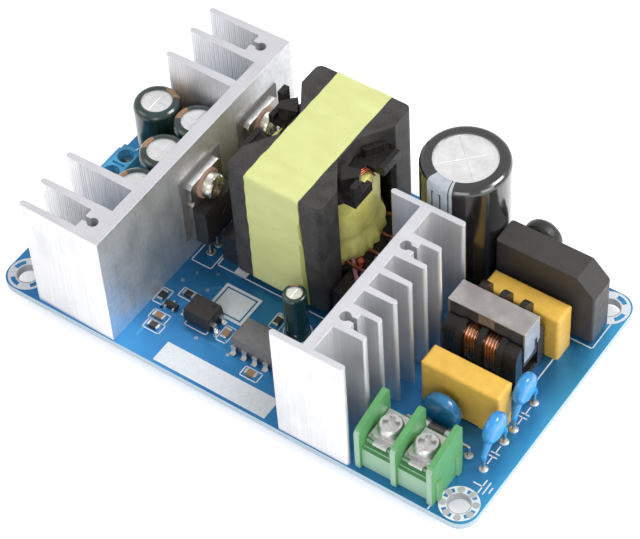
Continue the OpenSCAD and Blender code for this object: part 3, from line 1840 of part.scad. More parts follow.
// Middle of a chip part between its two metal ends
module chip_body(at) {
  at_control(at)
    translate([chip_end - chip_l / 2, -chip_w / 2, 0])
      cube([chip_l - 2 * chip_end, chip_w, chip_h]);
}

module chip_resistors() {
  color("dimgray")
    for (at = chip_resistors_at)
      chip_body(at);
}

module chip_capacitors() {
  color("burlywood")
    for (at = chip_capacitors_at)
      chip_body(at);
}

module chip_ends() {
  end_h = chip_h + 0.04;
  color("silver")
    for (at = concat(chip_resistors_at, chip_capacitors_at))
      at_control(at)
        for (x = [-chip_l / 2, chip_l / 2 - chip_end])
          translate([x, -chip_w / 2, 0])
            cube([chip_end, chip_w, end_h]);
}

circuit_board();
solder_joints();
output_heatsink();
primary_heatsink();
board_screws();
rectifier_front_case();
rectifier_front_frame();
rectifier_rear_case();
rectifier_rear_frame();
switch_case();
switch_frame();
insulating_pads();
insulating_bushes();
device_screws();
core_upper();
core_lower();
core_tape();
transformer_bobbin();
transformer_winding();
transformer_pins();
winding_wires();
winding_sleeves();
bulk_cap_can();
bulk_cap_sleeve();
output_cap_cans();
output_cap_sleeves();
supply_cap_can();
supply_cap_sleeve();
capacitor_leads();
x_cap_front();
x_cap_rear();
y_cap_front();
y_cap_rear();
varistor();
thermistor_disc();
bridge_body();
bridge_leads();
fuse_tube();
fuse_ends();
choke_core();
choke_clip();
choke_bobbin();
choke_windings();
choke_pins();
input_block();
input_contacts();
input_clamps();
input_screws();
output_block();
output_cages();
output_screws();
optocoupler_case();
control_ic_case();
transistor_case();
package_leads();
chip_resistors();
chip_capacitors();
chip_ends();
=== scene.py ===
"""Looks of an open-frame power supply module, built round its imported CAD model.

Lengths in the tables are millimetres in the CAD frame: x along the board, y to the rear, z up.
"""
import random
from math import asin, cos, degrees, pi, radians, sin

import bmesh
import bpy
from mathutils import Matrix, Vector


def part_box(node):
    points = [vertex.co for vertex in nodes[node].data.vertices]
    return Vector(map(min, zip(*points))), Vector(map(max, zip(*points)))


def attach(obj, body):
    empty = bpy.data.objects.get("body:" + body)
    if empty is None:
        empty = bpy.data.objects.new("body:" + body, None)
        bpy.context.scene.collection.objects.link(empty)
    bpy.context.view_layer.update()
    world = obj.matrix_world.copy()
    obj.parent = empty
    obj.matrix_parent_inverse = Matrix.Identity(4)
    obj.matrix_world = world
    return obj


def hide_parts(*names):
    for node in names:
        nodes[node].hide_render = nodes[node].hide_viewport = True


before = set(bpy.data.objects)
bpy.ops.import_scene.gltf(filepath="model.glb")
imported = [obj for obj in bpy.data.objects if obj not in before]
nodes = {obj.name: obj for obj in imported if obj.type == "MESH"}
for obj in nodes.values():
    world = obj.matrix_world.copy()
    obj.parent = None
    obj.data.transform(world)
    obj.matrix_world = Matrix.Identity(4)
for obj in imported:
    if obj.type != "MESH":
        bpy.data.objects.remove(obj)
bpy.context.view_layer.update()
MM = 0.001


def low(node):
    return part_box(node)[0] / MM


def high(node):
    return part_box(node)[1] / MM


def ends(node):
    return low(node), high(node)


def mid(node):
    return (low(node) + high(node)) / 2


BOARD_TOP = high("circuit_board").z
BOARD_BOTTOM = low("circuit_board").z
PRINT_TOP = BOARD_TOP + 0.03        # upper face of the board's print


# ---- Materials ----

NOISE_LOW, NOISE_HIGH = 0.3, 0.7    # most values of a noise texture lie between these
FACING = (0.6, 0.8)                 # a normal's share along an axis, from not facing it to facing it
COAT_ROUGHNESS = 0.12
BEVEL_SAMPLES = 4


class Look:
    """One procedural material. Texture space is the CAD frame, so grain keeps its real scale."""

    def __init__(self, name, rough=0.5, metallic=0.0, coat=0.0, specular=0.5, edge=0.12):
        self.mat = bpy.data.materials.new(name)
        self.mat.use_nodes = True
        self.tree = self.mat.node_tree
        self.shader = self.tree.nodes["Principled BSDF"]
        for key, value in (("Roughness", rough), ("Metallic", metallic), ("Coat Weight", coat),
                           ("Coat Roughness", COAT_ROUGHNESS), ("Specular IOR Level", specular)):
            self.shader.inputs[key].default_value = value
        self.coord = self.add("ShaderNodeTexCoord").outputs["Object"]
        bevel = self.add("ShaderNodeBevel")
        bevel.samples = BEVEL_SAMPLES
        bevel.inputs["Radius"].default_value = edge * MM
        self.normal = bevel.outputs["Normal"]
        self.link(self.normal, self.shader.inputs["Normal"])

    def add(self, kind):
        return self.tree.nodes.new(kind)

    def link(self, a, b):
        self.tree.links.new(a, b)

    def noise(self, size, stretch=(1, 1, 1), detail=3.0, seed=0.0):
        """Soft noise whose blobs are about size millimetres, longer along the stretched axes."""
        mapping = self.add("ShaderNodeMapping")
        mapping.inputs["Location"].default_value = (seed, seed * 0.7, -seed)
        mapping.inputs["Scale"].default_value = [1 / (size * MM * s) for s in stretch]
        noise = self.add("ShaderNodeTexNoise")
        noise.inputs["Scale"].default_value = 1.0
        noise.inputs["Detail"].default_value = detail
        self.link(self.coord, mapping.inputs["Vector"])
        self.link(mapping.outputs["Vector"], noise.inputs["Vector"])
        return noise.outputs["Fac"]

    def facing(self, axis):
        """1 where the surface faces along an axis, either way, and 0 elsewhere."""
        geometry = self.add("ShaderNodeNewGeometry")
        split = self.add("ShaderNodeSeparateXYZ")
        size = self.add("ShaderNodeMath")
        size.operation = "ABSOLUTE"
        self.link(geometry.outputs["Normal"], split.inputs[0])
        self.link(split.outputs[axis], size.inputs[0])
        return self.span(size.outputs[0], *FACING, 0.0, 1.0)

    def beyond(self, axis, a, b):
        """0 below a millimetres on an axis, 1 above b."""
        split = self.add("ShaderNodeSeparateXYZ")
        self.link(self.coord, split.inputs[0])
        return self.span(split.outputs[axis], a * MM, b * MM, 0.0, 1.0)

    def span(self, value, a, b, to_a, to_b):
        """Maps the range from a to b onto another one and holds what lies outside."""
        node = self.add("ShaderNodeMapRange")
        for key, number in (("From Min", a), ("From Max", b), ("To Min", to_a), ("To Max", to_b)):
            node.inputs[key].default_value = number
        self.link(value, node.inputs["Value"])
        return node.outputs["Result"]

    def ramp(self, noise, to_a=0.0, to_b=1.0):
        """Maps a noise texture's usual values onto a range."""
        return self.span(noise, NOISE_LOW, NOISE_HIGH, to_a, to_b)

    def reckon(self, operation, a, b):
        node = self.add("ShaderNodeMath")
        node.operation = operation
        self.link(a, node.inputs[0])
        self.link(b, node.inputs[1])
        return node.outputs[0]

    def times(self, a, b):
        return self.reckon("MULTIPLY", a, b)

    def plus(self, a, b):
        return self.reckon("ADD", a, b)

    def mix(self, factor, a, b):
        """Colour from a to b; each is a tuple or another node's output."""
        node = self.add("ShaderNodeMix")
        node.data_type = "RGBA"
        self.link(factor, node.inputs[0])
        for value, socket in ((a, node.inputs[6]), (b, node.inputs[7])):
            if isinstance(value, tuple):
                socket.default_value = (*value, 1.0)
            else:
                self.link(value, socket)
        return node.outputs[2]

    def color(self, socket):
        self.base = socket
        self.link(socket, self.shader.inputs["Base Color"])

    def rough(self, socket):
        self.link(socket, self.shader.inputs["Roughness"])

    def bump(self, socket, depth):
        """Adds relief of about depth millimetres over what is there."""
        node = self.add("ShaderNodeBump")
        node.inputs["Strength"].default_value = 1.0
        node.inputs["Distance"].default_value = depth * MM
        self.link(socket, node.inputs["Height"])
        self.link(self.normal, node.inputs["Normal"])
        self.normal = node.outputs["Normal"]
        self.link(self.normal, self.shader.inputs["Normal"])


def shade(color, k):
    return tuple(min(1.0, c * k) for c in color)


def plain(name, color, rough=(0.35, 0.5), vary=0.12, size=1.5, grain=0.25, depth=0.02, **keys):
    """Moulded or coated surface: uneven tone, uneven gloss and a fine skin."""
    look = Look(name, **keys)
    patch = look.noise(size, detail=4.0, seed=len(name))
    look.color(look.mix(look.ramp(patch), shade(color, 1 - vary), shade(color, 1 + vary)))
    look.rough(look.ramp(look.noise(size * 0.6, seed=3.1), *rough))
    look.bump(look.noise(grain, detail=2.0, seed=7.7), depth)
    return look


def metal(name, color, rough=(0.25, 0.4), vary=0.1, stretch=(1, 1, 1), size=0.8, depth=0.01, **keys):
    """Bare or plated metal with streaks along the stretched axis."""
    look = Look(name, metallic=1.0, **keys)
    streak = look.noise(size, stretch=stretch, detail=5.0, seed=len(name))
    look.color(look.mix(look.ramp(streak), shade(color, 1 - vary), shade(color, 1 + vary)))
    look.rough(look.ramp(look.noise(size * 2, stretch=stretch, seed=1.7), *rough))
    look.bump(streak, depth)
    return look


def board_look():
    """Blue solder mask over copper, with a painted highlight that pales the mask by the mains end, and the
    pale laminate of the edges.
    """
    look = Look("board_mask", rough=0.3, coat=0.1, edge=0.1)
    weave = look.noise(0.7, detail=2.0)
    tone = look.noise(14.0, detail=2.0, seed=2.0)
    mask = look.mix(look.span(tone, 0.35, 0.65, 0, 1), (0.024, 0.175, 0.42), (0.034, 0.230, 0.51))
    # Painted highlight: over the last 5 mm by the mains end the mask is mixed towards a pale cyan, standing
    # in for the stronger light there.
    board_end = high("circuit_board").x
    mask = look.mix(look.beyond("X", board_end - 5.0, board_end + 0.5), mask, (0.060, 0.38, 0.66))
    edge = look.mix(look.noise(0.4, stretch=(6, 6, 0.5)), (0.32, 0.46, 0.54), (0.54, 0.65, 0.72))
    face = look.facing("Z")
    look.color(look.mix(face, edge, mask))
    look.link(look.span(face, 0, 1, 0, 0.72), look.shader.inputs["Metallic"])
    look.rough(look.ramp(weave, 0.36, 0.46))
    look.bump(weave, 0.003)
    return look


def heatsink_look(name, stained):
    """Extruded aluminium: faint drawn streaks, saw-cut ends, dull blotches and, on a wide web, stains."""
    look = Look(name, metallic=1.0, edge=0.16)
    streak = look.noise(0.35, stretch=(1, 1, 60), detail=4.0)
    blotch = look.noise(5.0, stretch=(1, 1, 1.6), detail=5.0, seed=4.0)
    saw = look.noise(0.25, stretch=(14, 1, 1), seed=9.0)
    top, web = look.facing("Z"), look.facing("X")
    side = look.mix(look.ramp(streak), (0.715, 0.715, 0.735), (0.795, 0.795, 0.815))
    side = look.mix(look.span(blotch, 0.5, 0.75, 0, 0.3), side, (0.50, 0.53, 0.57))
    if stained:
        stain = look.noise(1.2, detail=6.0, seed=12.0)
        side = look.mix(look.times(look.span(stain, 0.40, 0.72, 0, 0.30), web), side, (0.38, 0.40, 0.44))
    cut = look.mix(look.ramp(saw), (0.685, 0.685, 0.725), (0.735, 0.735, 0.775))
    look.color(look.mix(top, side, cut))
    sheen = look.ramp(blotch, 0.42, 0.56)
    look.rough(look.plus(sheen, look.plus(look.span(top, 0, 1, 0, 0.08), look.span(web, 0, 1, 0, 0.06))))
    look.bump(streak, 0.0015)
    look.bump(look.times(saw, top), 0.008)
    return look


def rib_look():
    """Crests of the drawn ribs: the sinks' aluminium, worn darker in patches."""
    look = Look("aluminium_ribs", metallic=1.0, edge=0.03)
    wear = look.noise(2.0, stretch=(0.2, 0.2, 3), detail=4.0, seed=5.0)
    look.color(look.mix(look.ramp(wear), (0.78, 0.78, 0.80), (0.94, 0.94, 0.95)))
    look.rough(look.ramp(wear, 0.42, 0.56))
    look.bump(look.noise(0.3, stretch=(1, 1, 20), seed=2.0), 0.004)
    return look


def tab_look():
    """Tinned copper tabs: brushed upright, dull on the faces and bright on the sheared upper edge."""
    look = Look("device_tab", metallic=1.0, edge=0.06)
    brush = look.noise(0.7, stretch=(1, 1, 4), detail=4.0)
    face = look.mix(look.ramp(brush), (0.37, 0.34, 0.315), (0.49, 0.46, 0.43))
    look.color(look.mix(look.facing("Z"), face, (0.88, 0.88, 0.87)))
    look.rough(look.ramp(brush, 0.34, 0.5))
    look.bump(brush, 0.006)
    return look


def tape_look(name, bright, dull, crease):
    """Polyester tape: creases across the band, a soft gloss and small dirt specks."""
    look = Look(name, edge=0.25, specular=0.45)
    fold = look.noise(4.0, stretch=(2.5, 1, 1), detail=4.0)
    speck = look.noise(0.45, detail=1.0, seed=5.0)
    tone = look.mix(look.ramp(fold), dull, bright)
    look.color(look.mix(look.span(speck, 0.76, 0.8, 0, 0.7), tone, shade(dull, 0.25)))
    look.rough(look.ramp(fold, 0.34, 0.5))
    look.bump(fold, crease)
    look.bump(look.noise(0.8, seed=8.0), 0.03)
    return look


def ferrite_look():
    """Sintered ferrite: near-black with pores, pale chips and a ground sheen."""
    look = Look("ferrite", rough=0.55, edge=0.5, specular=0.32)
    tone = look.noise(3.0, detail=5.0)
    pore = look.noise(0.35, detail=2.0, seed=3.0)
    dust = look.noise(0.22, detail=4.0, seed=6.0)
    base = look.mix(look.ramp(tone), (0.024, 0.023, 0.022), (0.058, 0.055, 0.053))
    base = look.mix(look.span(dust, 0.52, 0.72, 0, 0.45), base, (0.13, 0.125, 0.12))
    look.color(look.mix(look.span(pore, 0.70, 0.76, 0, 0.7), base, (0.26, 0.25, 0.24)))
    look.rough(look.ramp(tone, 0.45, 0.62))
    look.bump(pore, 0.05)
    return look


def copper_look(name, bright, dark):
    """Enamelled copper: warm, glossy, darker where the lacquer is thick."""
    look = Look(name, metallic=1.0, coat=0.5, edge=0.03)
    tone = look.noise(2.4, detail=2.0)
    look.color(look.mix(look.ramp(tone), dark, bright))
    look.rough(look.ramp(tone, 0.22, 0.34))
    look.bump(look.noise(0.3), 0.003)
    return look


def speckled(name, color, speck, amount, **keys):
    """Plain surface with sparse specks of another tone."""
    look = plain(name, color, **keys)
    dots = look.noise(0.3, detail=1.0, seed=11.0)
    look.color(look.mix(look.span(dots, 0.74, 0.78, 0, amount), look.base, speck))
    return look


def green_look():
    """Green terminal plastic, with a painted sheen that pales the faces turned to the front and back."""
    look = plain("green_plastic", (0.100, 0.32, 0.115), rough=(0.46, 0.6), vary=0.08, size=3.0, grain=0.5,
                 edge=0.2)
    # Painted sheen: faces turned along y, front and back, are mixed towards a pale green.
    look.color(look.mix(look.span(look.facing("Y"), 0, 1, 0, 0.8), look.base, (0.38, 0.56, 0.43)))
    return look


# Colours are linear; size and grain are in millimetres, like the depth of the relief and the worn edge.
LOOKS = {
    "mask": board_look(),
    "solder": metal("solder", (0.62, 0.62, 0.60), rough=(0.28, 0.5), size=0.5, depth=0.03),
    "sink_stained": heatsink_look("aluminium_stained", True),
    "sink": heatsink_look("aluminium_drawn", False),
    "rib": rib_look(),
    "nickel": metal("nickel_screw", (0.66, 0.62, 0.55), rough=(0.14, 0.3), size=0.9),
    "zinc": metal("zinc_screw", (0.62, 0.62, 0.61), rough=(0.34, 0.5), vary=0.16, size=0.6, depth=0.03),
    "tinned": metal("tinned_metal", (0.56, 0.56, 0.55), rough=(0.26, 0.42), stretch=(1, 1, 5), size=0.5),
    "tab": tab_look(),
    "epoxy": speckled("black_epoxy", (0.020, 0.018, 0.017), (0.10, 0.09, 0.08), 0.5,
                      rough=(0.42, 0.6), size=1.2, grain=0.16, depth=0.03),
    # Painted sheen: the control IC's case is a lighter grey than the black epoxy, standing in for the sheen
    # on its top.
    "epoxy_sheen": speckled("worn_epoxy", (0.14, 0.14, 0.145), (0.24, 0.24, 0.24), 0.5,
                           rough=(0.44, 0.6), size=1.2, grain=0.16, depth=0.03),
    "dull_tin": plain("dull_tin", (0.40, 0.40, 0.415), rough=(0.42, 0.58), size=0.5, depth=0.01),
    "bridge": speckled("bridge_epoxy", (0.040, 0.034, 0.034), (0.13, 0.12, 0.12), 0.6,
                       rough=(0.4, 0.52), size=2.5, grain=0.2, depth=0.05, edge=0.3),
    "ferrite": ferrite_look(),
    "bobbin": speckled("bobbin_phenolic", (0.022, 0.020, 0.019), (0.14, 0.13, 0.12), 0.5,
                       rough=(0.22, 0.38), size=1.4, grain=0.3, depth=0.04, edge=0.2, specular=0.25),
    "tape": tape_look("core_tape", (0.68, 0.71, 0.31), (0.60, 0.63, 0.25), 0.12),
    "wrap": tape_look("winding_tape", (0.93, 0.89, 0.30), (0.76, 0.71, 0.18), 0.3),
    "lap": tape_look("tape_edge", (0.50, 0.53, 0.17), (0.36, 0.39, 0.11), 0.1),
    "copper": copper_look("copper_wire", (0.66, 0.33, 0.19), (0.50, 0.22, 0.12)),
    "enamel": copper_look("red_enamel_wire", (0.62, 0.16, 0.08), (0.40, 0.08, 0.04)),
    "lead": copper_look("lead_wire", (0.42, 0.17, 0.13), (0.26, 0.09, 0.07)),
    "pink": plain("pink_sleeve", (0.45, 0.20, 0.30), size=0.8),
    "pad": plain("silicone_pad", (0.125, 0.12, 0.115), rough=(0.5, 0.65), size=1.0, depth=0.03),
    "bush": plain("bush_plastic", (0.40, 0.25, 0.19), size=0.8),
    "can": metal("can_top", (0.84, 0.83, 0.84), rough=(0.44, 0.58), vary=0.06, size=1.2, depth=0.02),
    "can_bright": metal("small_can_top", (0.95, 0.95, 0.94), rough=(0.5, 0.62), vary=0.04, size=1.2),
    "black_film": plain("black_film", (0.012, 0.011, 0.012), rough=(0.12, 0.22), size=3.0, depth=0.006,
                        coat=1.0),
    "green_film": plain("green_film", (0.010, 0.034, 0.029), rough=(0.16, 0.28), size=2.0, depth=0.008,
                        coat=0.5),
    "grey_print": plain("grey_print", (0.42, 0.46, 0.52), rough=(0.28, 0.4), depth=0.008, coat=0.3),
    "tan_print": plain("tan_print", (0.34, 0.19, 0.09), rough=(0.28, 0.4), depth=0.008, coat=0.3),
    "yellow": speckled("yellow_case", (0.74, 0.45, 0.07), (0.50, 0.28, 0.03), 0.35,
                       rough=(0.36, 0.5), vary=0.08, size=2.0, grain=0.35, depth=0.05, edge=0.3),
    "disc": plain("disc_coat", (0.028, 0.265, 0.61), rough=(0.14, 0.26), vary=0.1, size=2.2, grain=1.4,
                  depth=0.06, coat=0.4),
    "disc_dark": plain("varistor_coat", (0.010, 0.145, 0.32), rough=(0.16, 0.3), size=2.2, grain=1.2,
                       depth=0.06, coat=0.4),
    "disc_black": plain("thermistor_coat", (0.022, 0.021, 0.020), rough=(0.3, 0.45), size=2.0, grain=1.0,
                        depth=0.06),
    "glass": plain("fuse_glass", (0.05, 0.045, 0.04), rough=(0.08, 0.16), size=1.0, depth=0.006, coat=0.6),
    "tinplate": metal("tinplate", (0.47, 0.44, 0.43), rough=(0.42, 0.55), vary=0.16, size=3.0, depth=0.02),
    "green": green_look(),
    "blue": plain("blue_plastic", (0.075, 0.40, 0.70), rough=(0.3, 0.42), vary=0.1, size=2.0, edge=0.2),
    "chip": plain("chip_film", (0.020, 0.020, 0.022), rough=(0.25, 0.4), size=0.5, depth=0.01, edge=0.05),
    "chip_tan": plain("chip_ceramic", (0.27, 0.165, 0.095), size=0.4, depth=0.015, edge=0.05),
    "white": plain("white_ink", (0.66, 0.70, 0.75), rough=(0.42, 0.56), vary=0.06, size=0.6, grain=0.2,
                   depth=0.012, edge=0.01),
    "pour": plain("mask_over_copper", (0.045, 0.265, 0.560), metallic=0.72, rough=(0.34, 0.44), size=2.5,
                  grain=0.5, depth=0.012, coat=0.25, edge=0.02),
    "hole": plain("print_gap", (0.012, 0.130, 0.290), rough=(0.3, 0.4), size=0.8, depth=0.01, edge=0.01),
}

NODE_LOOKS = {
    "mask": ["circuit_board"],
    "solder": ["solder_joints"],
    "sink_stained": ["output_heatsink"],
    "sink": ["primary_heatsink"],
    "nickel": ["board_screws", "device_screws", "output_screws"],
    "zinc": ["input_screws", "input_clamps"],
    "tinned": ["transformer_pins", "capacitor_leads", "bridge_leads", "fuse_ends", "choke_pins",
               "input_contacts", "output_cages", "package_leads", "chip_ends"],
    "tab": ["rectifier_front_frame", "rectifier_rear_frame", "switch_frame"],
    "epoxy": ["rectifier_front_case", "rectifier_rear_case", "switch_case", "optocoupler_case",
              "transistor_case"],
    # Lighter epoxy whose grey is painted sheen.
    "epoxy_sheen": ["control_ic_case"],
    "bridge": ["bridge_body"],
    "ferrite": ["core_upper", "core_lower", "choke_core"],
    "bobbin": ["transformer_bobbin", "choke_bobbin"],
    "tape": ["core_tape"],
    "wrap": ["transformer_winding"],
    "copper": ["choke_windings"],
    "lead": ["winding_wires"],
    "pink": ["winding_sleeves"],
    "pad": ["insulating_pads"],
    "bush": ["insulating_bushes"],
    "can": ["bulk_cap_can", "output_cap_cans"],
    "can_bright": ["supply_cap_can"],
    "black_film": ["bulk_cap_sleeve"],
    "green_film": ["output_cap_sleeves", "supply_cap_sleeve"],
    "yellow": ["x_cap_front", "x_cap_rear"],
    "disc": ["y_cap_front", "y_cap_rear"],
    "disc_dark": ["varistor"],
    "disc_black": ["thermistor_disc"],
    "glass": ["fuse_tube"],
    "tinplate": ["choke_clip"],
    "green": ["input_block"],
    "blue": ["output_block"],
    "chip": ["chip_resistors"],
    "chip_tan": ["chip_capacitors"],
}
for look_name, members in NODE_LOOKS.items():
    for member in members:
        mesh = nodes[member].data
        mesh.materials.clear()
        mesh.materials.append(LOOKS[look_name].mat)


# ---- Mesh building ----


def turned(x, y, section, t):
    """A section of radius and height pairs, turned by an angle about the upright axis through x, y."""
    return [(x + r * cos(t), y + r * sin(t), z) for r, z in section]


class Shape:
    """Collects closed shells, in millimetres, into one mesh."""

    def __init__(self):
        self.points = []
        self.faces = []

    def shell(self, points, faces):
        base = len(self.points)
        self.points += [tuple(p) for p in points]
        self.faces += [tuple(base + i for i in face) for face in faces]

    def prism(self, outline, z0=BOARD_TOP, z1=PRINT_TOP):
        """Upright prism over an outline that runs anticlockwise; by default as high as the print."""
        n = len(outline)
        points = [(x, y, z0) for x, y in outline] + [(x, y, z1) for x, y in outline]
        sides = [(i, (i + 1) % n, n + (i + 1) % n, n + i) for i in range(n)]
        self.shell(points, [tuple(range(n - 1, -1, -1)), tuple(range(n, 2 * n))] + sides)

    def block(self, x0, y0, x1, y1):
        self.prism([(x0, y0), (x1, y0), (x1, y1), (x0, y1)])

    def line(self, a, b, width, z0=BOARD_TOP, z1=PRINT_TOP):
        """Straight ink line between two points."""
        a, b = Vector(a), Vector(b)
        along = (b - a).normalized() * width / 2
        side = along.orthogonal()
        corners = [a - along - side, b + along - side, b + along + side, a - along + side]
        self.prism([tuple(c) for c in corners], z0, z1)

    def frame(self, x0, y0, x1, y1, width, z0=BOARD_TOP, z1=PRINT_TOP):
        """Ink outline of a rectangle."""
        corners = ((x0, y0), (x1, y0), (x1, y1), (x0, y1))
        for a, b in zip(corners, corners[1:] + corners[:1]):
            self.line(a, b, width, z0, z1)

    def arc(self, x, y, r0, r1, z0=BOARD_TOP, z1=PRINT_TOP, a0=0.0, a1=360.0, step=6.0):
        """Flat ring or part of one, with facets of step degrees."""
        count = max(3, round((a1 - a0) / step))
        whole = a1 - a0 >= 360
        angles = [radians(a0 + (a1 - a0) * i / count) for i in range(count + (0 if whole else 1))]
        section = [(r0, z0), (r1, z0), (r1, z1), (r0, z1)]
        self.sweep([turned(x, y, section, t) for t in angles], whole)

    def sweep(self, rings, closed):
        """Skin over rings of equal length; open runs get end caps."""
        n = len(rings[0])
        points = [p for ring in rings for p in ring]
        faces = []
        count = len(rings)
        for i in range(count if closed else count - 1):
            j = (i + 1) % count
            for k in range(n):
                m = (k + 1) % n
                faces.append((i * n + k, i * n + m, j * n + m, j * n + k))
        if not closed:
            faces.append(tuple(range(n - 1, -1, -1)))
            faces.append(tuple((count - 1) * n + k for k in range(n)))
        self.shell(points, faces)

    def tube(self, path, radius, sides=8):
        """Round wire along a path."""
        rings = []
        side = None
        for i, p in enumerate(path):
            ahead = Vector(path[min(i + 1, len(path) - 1)]) - Vector(path[max(i - 1, 0)])
            ahead.normalize()
            side = ahead.orthogonal() if side is None else side - ahead * side.dot(ahead)
            side.normalize()
            up = ahead.cross(side)
            rings.append([
                Vector(p) + radius * (side * cos(t) + up * sin(t))
                for t in (2 * pi * k / sides for k in range(sides))
            ])
        self.sweep(rings, False)

    def dome(self, x, y, profile, sides=20):
        """Turned ring from a closed section of radius and height pairs."""
        self.sweep([turned(x, y, profile, 2 * pi * k / sides) for k in range(sides)], True)

    def piece(self, name, look, slot, smooth=35.0):
        """Makes the Blender object, which rides with the board."""
        mesh = bpy.data.meshes.new(name)
        mesh.from_pydata([[c * MM for c in p] for p in self.points], [], self.faces)
        mesh.validate()
        mesh.materials.append(LOOKS[look].mat)
        for polygon in mesh.polygons:
            polygon.use_smooth = True
        mesh.set_sharp_from_angle(angle=radians(smooth))
        made = placed(name, mesh)
        fix_normals(mesh)
        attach(made, "root")
        return made


def placed(name, data):
    """A new object in the scene."""
    made = bpy.data.objects.new(name, data)
    bpy.context.scene.collection.objects.link(made)
    return made


def fix_normals(mesh):
    """Turns every face of the mesh outwards."""
    work = bmesh.new()
    work.from_mesh(mesh)
    bmesh.ops.recalc_face_normals(work, faces=work.faces)
    work.to_mesh(mesh)
    work.free()


def islands(node):
    """Box of each separate solid of a CAD node, as (low, high) in millimetres."""
    mesh = nodes[node].data
    parent = {}

    def root(key):
        while parent[key] != key:
            parent[key] = parent[parent[key]]
            key = parent[key]
        return key

    keys = [tuple(round(c, 7) for c in v.co) for v in mesh.vertices]
    for key in keys:
        parent[key] = key
    for polygon in mesh.polygons:
        first = root(keys[polygon.vertices[0]])
        for v in polygon.vertices[1:]:
            parent[root(keys[v])] = first
    groups = {}
    for key in parent:
        groups.setdefault(root(key), []).append(key)
    boxes = [[Vector([pick(axis) for axis in zip(*group)]) / MM for pick in (min, max)]
             for group in groups.values()]
    return sorted(boxes, key=lambda b: (round(b[0].x, 3), round(b[0].y, 3)))


# ---- Camera, light and floor ----

CAMERA_TURN = radians(37.751)
CAMERA_RISE = radians(50.298)
CAMERA_ROLL = radians(-4.160)
CAMERA_SHIFT = Vector((0.9676, 4.1964, 482.748))
PHOTO_WIDTH = 640
PHOTO_FOCAL = 2417.085
SENSOR = 36.0
CLIP_START = 0.01
LIGHT_AIM = Vector((0, 0, 0.015))
LIGHTS = (    # name, place and size in metres, power in watts
    ("key", (0.5, 0.36, 0.72), (0.35, 0.35), 5.2),
    ("fill", (-0.62, -0.5, 0.62), (0.5, 0.5), 1.4),
    ("front", (0.35, -0.75, 0.45), (0.5, 0.4), 2.1),
    ("side", (0.8, -0.12, 0.26), (0.4, 0.3), 1.6),
)
AMBIENT = 0.6       # the world's light on the object; seen directly, the world has strength 1
FLOOR_HALF = 1.5
FLOOR_GLOW = 0.46   # lifts the seen floor to the photo's white and keeps its shadow


def camera_axes():
    """The camera's right, up and back directions, fitted to the photo."""
    right = Vector((cos(CAMERA_TURN), sin(CAMERA_TURN), 0))
    back = Vector((
        sin(CAMERA_TURN) * cos(CAMERA_RISE),
        -cos(CAMERA_TURN) * cos(CAMERA_RISE),
        sin(CAMERA_RISE),
    ))
    up = back.cross(right)
    c, s = cos(CAMERA_ROLL), sin(CAMERA_ROLL)
    return right * c + up * s, up * c - right * s, back


def make_camera():
    right, up, back = camera_axes()
    eye = right * CAMERA_SHIFT.x + up * CAMERA_SHIFT.y + back * CAMERA_SHIFT.z
    eye.z += BOARD_TOP
    data = bpy.data.cameras.new("camera")
    data.sensor_width = SENSOR
    data.lens = PHOTO_FOCAL / PHOTO_WIDTH * SENSOR
    data.clip_start = CLIP_START
    camera = placed("camera", data)
    turn = Matrix((right, up, back)).transposed().to_4x4()
    camera.matrix_world = Matrix.Translation(eye * MM) @ turn
    bpy.context.scene.camera = camera


def make_light(name, place, size, power):
    data = bpy.data.lights.new(name, "AREA")
    data.shape = "RECTANGLE"
    data.size, data.size_y = size
    data.energy = power
    light = placed(name, data)
    light.location = place
    light.rotation_euler = (LIGHT_AIM - Vector(place)).to_track_quat("-Z", "Y").to_euler()


def seen_rays(tree, paths):
    """1 for rays that show the backdrop: those of the camera, of gloss and of clear pieces."""
    total = paths.outputs["Is Camera Ray"]
    for kind in ("Is Glossy Ray", "Is Transmission Ray"):
        add = tree.nodes.new("ShaderNodeMath")
        add.operation = "MAXIMUM"
        tree.links.new(total, add.inputs[0])
        tree.links.new(paths.outputs[kind], add.inputs[1])
        total = add.outputs[0]
    return total


def make_world():
    world = bpy.data.worlds.new("studio")
    bpy.context.scene.world = world
    world.use_nodes = True
    tree = world.node_tree
    ambient = tree.nodes["Background"]
    ambient.inputs["Color"].default_value = (1, 1, 1, 1)
    ambient.inputs["Strength"].default_value = AMBIENT
    seen = tree.nodes.new("ShaderNodeBackground")
    seen.inputs["Strength"].default_value = 1.0
    paths = tree.nodes.new("ShaderNodeLightPath")
    choose = tree.nodes.new("ShaderNodeMixShader")
    tree.links.new(seen_rays(tree, paths), choose.inputs[0])
    tree.links.new(ambient.outputs[0], choose.inputs[1])
    tree.links.new(seen.outputs[0], choose.inputs[2])
    tree.links.new(choose.outputs[0], tree.nodes["World Output"].inputs["Surface"])


def make_floor():
    mesh = bpy.data.meshes.new("floor")
    corners = [(x * FLOOR_HALF, y * FLOOR_HALF, 0) for x, y in ((-1, -1), (1, -1), (1, 1), (-1, 1))]
    mesh.from_pydata(corners, [], [(0, 1, 2, 3)])
    floor = placed("floor", mesh)
    look = Look("floor_paper", rough=0.85)
    look.color(look.mix(look.noise(30.0), (0.83, 0.83, 0.84), (0.86, 0.86, 0.86)))
    paths = look.add("ShaderNodeLightPath")
    look.shader.inputs["Emission Color"].default_value = (1, 1, 1, 1)
    glow = look.span(seen_rays(look.tree, paths), 0, 1, 0.0, FLOOR_GLOW)
    look.link(glow, look.shader.inputs["Emission Strength"])
    mesh.materials.append(look.mat)


make_camera()
make_world()
make_floor()
for light_row in LIGHTS:
    make_light(*light_row)
bpy.context.scene.view_settings.view_transform = "Standard"

# ---- Board print ----

FINE, LINE, BOLD = 0.22, 0.25, 0.28     # widths of the printed lines
CHIP_ROOM = (1.15, 0.55)                # from a chip to its printed frame, along and across the chip
EARTH = Vector((53.2, -22.05))          # middle of the earth sign's first bar


